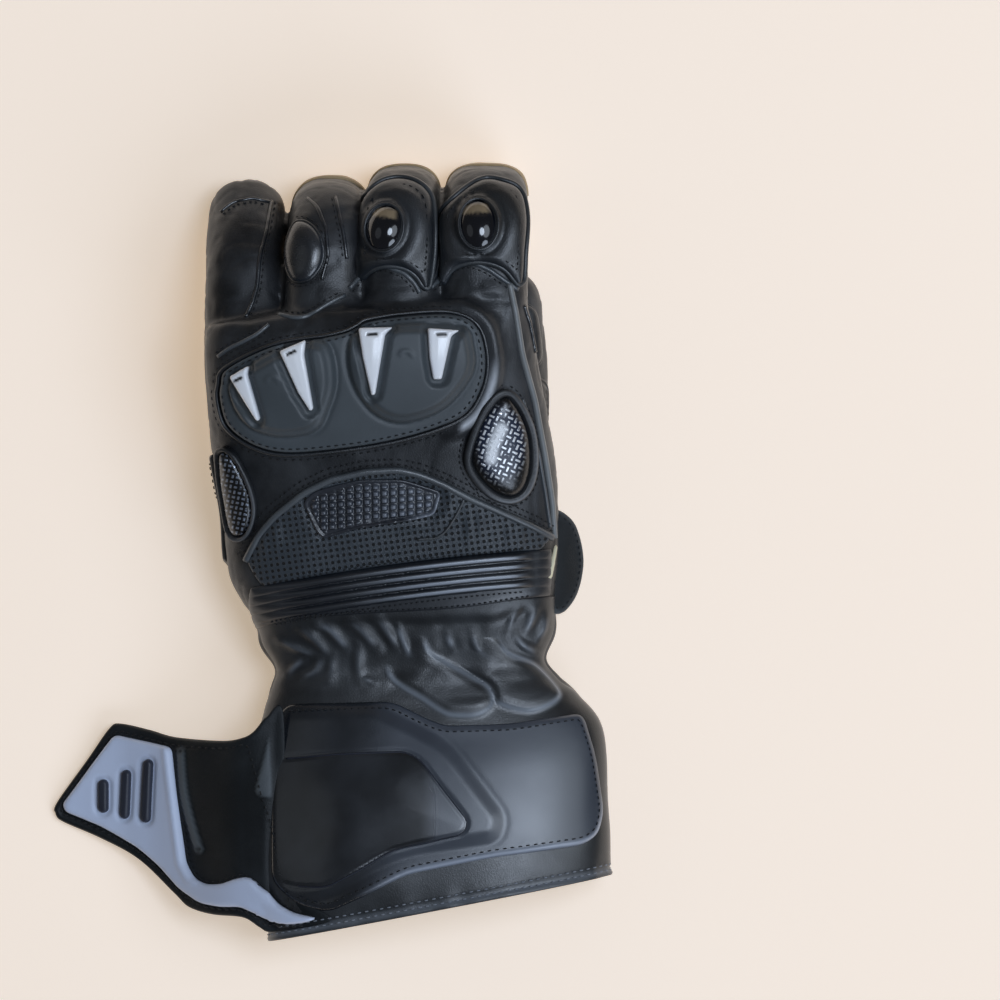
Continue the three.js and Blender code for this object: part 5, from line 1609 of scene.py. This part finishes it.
def bandLoop(tube, low, high, reach, taper=0.0):  # round-cornered length of a finger's palm side
    half = tube.girth * reach
    end = half * (1 - taper)
    return cornered([(half, low), (end, high), (-end, high), (-half, low)], 3)


def buildFingerPalms():
    look = fingerStrips
    strip = softLevel(look["height"], 0.7, 5, 0.25, 111)
    gripRise = softLevel(look["gripHeight"], 0.7, 5, 0.15, 112)
    for name, tube in fingers.items():
        skin = fingerPalm[name]
        loop = bandLoop(tube, look["first"], tube.length + fingerTip * 0.95, look["reach"], 0.12)
        patch(f"finger_tan_{name}", skin, None, strip, tanLeather, f"palm_strip_{name}", domain=loop,
              spacing=1.1)
        sewn = inset(resample(loop, 1.2), 1.3)
        stitch("pale", skin, None, 2.1, look["height"] + 0.1, closed=True, domain=sewn)
        far, near = [tube.length - d for d in look["gripBand"]]
        if name != "little":
            band = bandLoop(tube, far, near, look["gripReach"])
            patch(f"finger_grip_{name}", skin, None, gripRise, embossedGrip, f"grip_{name}", domain=band,
                  spacing=1.1, floor=0.2)
            sewn = inset(resample(band, 1.2), 1.2)
            stitch("dark", skin, None, 2.1, look["gripHeight"] + 0.1, closed=True, domain=sewn)
        v = np.arange(tube.length - look["quilt"][0], tube.length - look["quilt"][1], 1.6)
        for column in look["quiltColumns"]:
            zig = np.column_stack([column + look["zigzag"] * (-1.0) ** np.arange(len(v)), v])
            stitch("pale", skin, None, 1.9, look["height"] + 0.1, domain=zig)


buildPalm()
buildFingerPalms()
print("palm made")

# Thumb: padded tip, ribbed stretch panel and a tan inner side
thumbLook = dict(
    stretch=dict(middle=55, along=(22, 66), half=9.5, ribs=6, height=0.8, rib=0.9),
    tip=dict(middle=75, along=(70, 92), half=9, height=1.7),
    knuckle=dict(middle=75, along=(53, 67.5), half=6, height=1.2),
    tan=dict(middle=-120, along=(20, 96), half=11, height=0.9))


def buildThumb():
    for name, look in thumbLook.items():
        skin = Skin(thumb, look["middle"])
        (low, high), half = look["along"], look["half"]
        loop = cornered([(-half, low), (half, low), (half * 0.9, high), (-half * 0.9, high)], half * 0.7)

        def height(spot):
            h = look["height"] * (0.2 + 0.8 * domed(spot["edge"], 2.2)) + noise3(spot["base"], 5, 121) * 0.2
            if "ribs" in look:
                pitch = 2 * half / look["ribs"]
                wave = np.abs(np.sin((spot["domain"][:, 0] + spot["domain"][:, 1] * 0.18) * math.pi / pitch))
                h += look["rib"] * domed(wave, 0.9) * smooth(spot["edge"], 0.6, 2.5)
            return h

        finish = tanLeather if name == "tan" else blackLeather
        patch(f"thumb_{name}", skin, None, height, finish, domain=loop, spacing=0.9)
        if name == "tan":
            sewn = inset(loop, 1.5)
            stitch("pale", skin, None, 2.1, look["height"] * 0.9, closed=True, domain=sewn, steep=0.3)
        else:
            cord(f"thumb_{name}_piping", skin, None, 0.6, blackLeather, lift=0.2, closed=True, domain=loop)


buildThumb()
print("thumb made")

# Wrist strap with its pull tab, and the hook-and-loop pads
strapLook = dict(
    loopPad=[(-23, -28.8), (16.4, -24.8), (16.4, -38.6), (-21, -38.2)],
    strap=[(17.1, -25.5), (62, -22.5), (67, -30), (64.6, -41.4), (40, -43), (17.1, -38.7)],
    tab=[(73.5, 13), (77.9, 14.6), (83.2, 10.2), (85.8, 2.6), (86.7, -4.4), (85.4, -12), (83.2, -17.6),
         (78.8, -22.9), (73.5, -21)],
    tabSlope=((58, 24.5), (74, 22.5), (90, 11)),
    cuffPad=[(8, -76), (58, -68), (60, -96), (10, -104)],
    sideTan=[(77.0, 1.6), (73.9, -10)])


def buildStrap():
    patch("wrist_loop_fabric", palm, cornered(strapLook["loopPad"], 2), level(1.3, 0.6), loopPile,
          "wrist_loop_pad", spacing=1.4, floor=-1.2)
    outline = cornered(strapLook["strap"], 4)
    patch("wrist_strap_leather", palm, outline, softLevel(1.8, 1.0, 12, 0.3, 131), blackLeather,
          "wrist_strap", spacing=1.4, floor=-1.2)
    stitch("dark", palm, inset(outline, 2.2), 2.4, 1.9, closed=True)
    slopeX, slopeZ = zip(*strapLook["tabSlope"])
    slope = Sheet(lambda plan: np.interp(plan[:, 0], slopeX, slopeZ) + 0.8 * bell(plan[:, 0] - 80, 4))
    tab = cornered(strapLook["tab"], 4, 0.8)
    patch("strap_tab_leather", slope, tab, softLevel(2.4, 1.4, 6, 0.3, 132), flapLeather, "strap_tab",
          spacing=0.9, floor=0)
    stitch("dark", slope, inset(tab, 2.0), 2.2, 2.4, closed=True)
    ground = Sheet(lambda plan: np.full(len(plan), 0.05))
    patch("cuff_loop_fabric", ground, cornered(strapLook["cuffPad"], 3), level(2.4, 0.6, 0.8), loopPile,
          "cuff_loop_pad", spacing=2, floor=0)
    high, low = back.fromPlan(strapLook["sideTan"])
    side = cornered([high, low, low + (2.6, 0), high + (1.2, 0.5)], 0.5, 0.4)
    patch("palm_tan_side", back, None, level(0.8, 0.5), paleTan, domain=side, spacing=0.7)


buildStrap()
for name, finish in dict(dark=darkThread, grey=greyThread, pale=paleThread).items():
    sewAll(name, finish)
print("strap and stitches made")

# Floor, light and camera
view = dict(centre=(58.1, 17.4), width=345, height=35, lens=300, sensor=36)
studio = dict(floor=srgb(240, 230, 221), glow=0.5, glowColour=srgb(243, 221, 194), world=0.07, floorSize=14,
              aim=(0.04, 0, 0.03))
lights = table("name spot size power colour", [
    ("key", (0.66, 0.26, 2.4), (0.95, 0.95), 18, (0.72, 0.83, 1)),
    ("rim", (2.9, -3.4, 3.4), (3.0, 3.0), 80, (0.72, 0.83, 1)),
    ("side", (1.72, 0.25, 2.35), (1.8, 1.8), 14, (0.8, 0.89, 1)),
    ("fill", (-3.8, 0.4, 4.0), (3.2, 3.2), 5, (0.86, 0.93, 1)),
    ("warm", (0.04, 1.8, 0.85), (3.0, 1.4), 0.6, (1, 0.74, 0.52))])


def addLight(row):
    light = bpy.data.lights.new(row["name"], "AREA")
    light.shape = "ELLIPSE"
    light.size, light.size_y = row["size"]
    light.energy = row["power"]
    light.color = row["colour"]
    lamp = bpy.data.objects.new(row["name"], light)
    lamp.location = row["spot"]
    lamp.visible_camera = False
    towards = Vector(studio["aim"]) - Vector(row["spot"])
    lamp.rotation_euler = towards.to_track_quat("-Z", "Y").to_euler()
    bpy.context.collection.objects.link(lamp)


def buildStudio():
    half = studio["floorSize"] / 2
    mesh = bpy.data.meshes.new("floor")
    corners = [(-half, -half, 0), (half, -half, 0), (half, half, 0), (-half, half, 0)]
    mesh.from_pydata(corners, [], [(0, 1, 2, 3)])
    floor = bpy.data.objects.new("floor", mesh)
    bpy.context.collection.objects.link(floor)
    paper = Board("floor_paper", Base_Color=studio["floor"], Roughness=0.9, Specular_IOR_Level=0.1,
                  Emission_Color=studio["glowColour"], Emission_Strength=studio["glow"])
    mesh.materials.append(paper.material)
    world = bpy.data.worlds.new("studio")
    world.use_nodes = True
    sky = world.node_tree.nodes["Background"].inputs
    sky["Color"].default_value = (1, 1, 1, 1)
    sky["Strength"].default_value = studio["world"]
    bpy.context.scene.world = world
    for row in lights:
        addLight(row)
    lens = bpy.data.cameras.new("camera")
    lens.lens, lens.sensor_width = view["lens"], view["sensor"]
    camera = bpy.data.objects.new("camera", lens)
    far = view["width"] * view["lens"] / view["sensor"] + view["height"]
    camera.location = Vector((*view["centre"], far)) * mm
    bpy.context.collection.objects.link(camera)
    bpy.context.scene.camera = camera
    bpy.context.scene.view_settings.view_transform = "Standard"


buildStudio()
print("stage made")
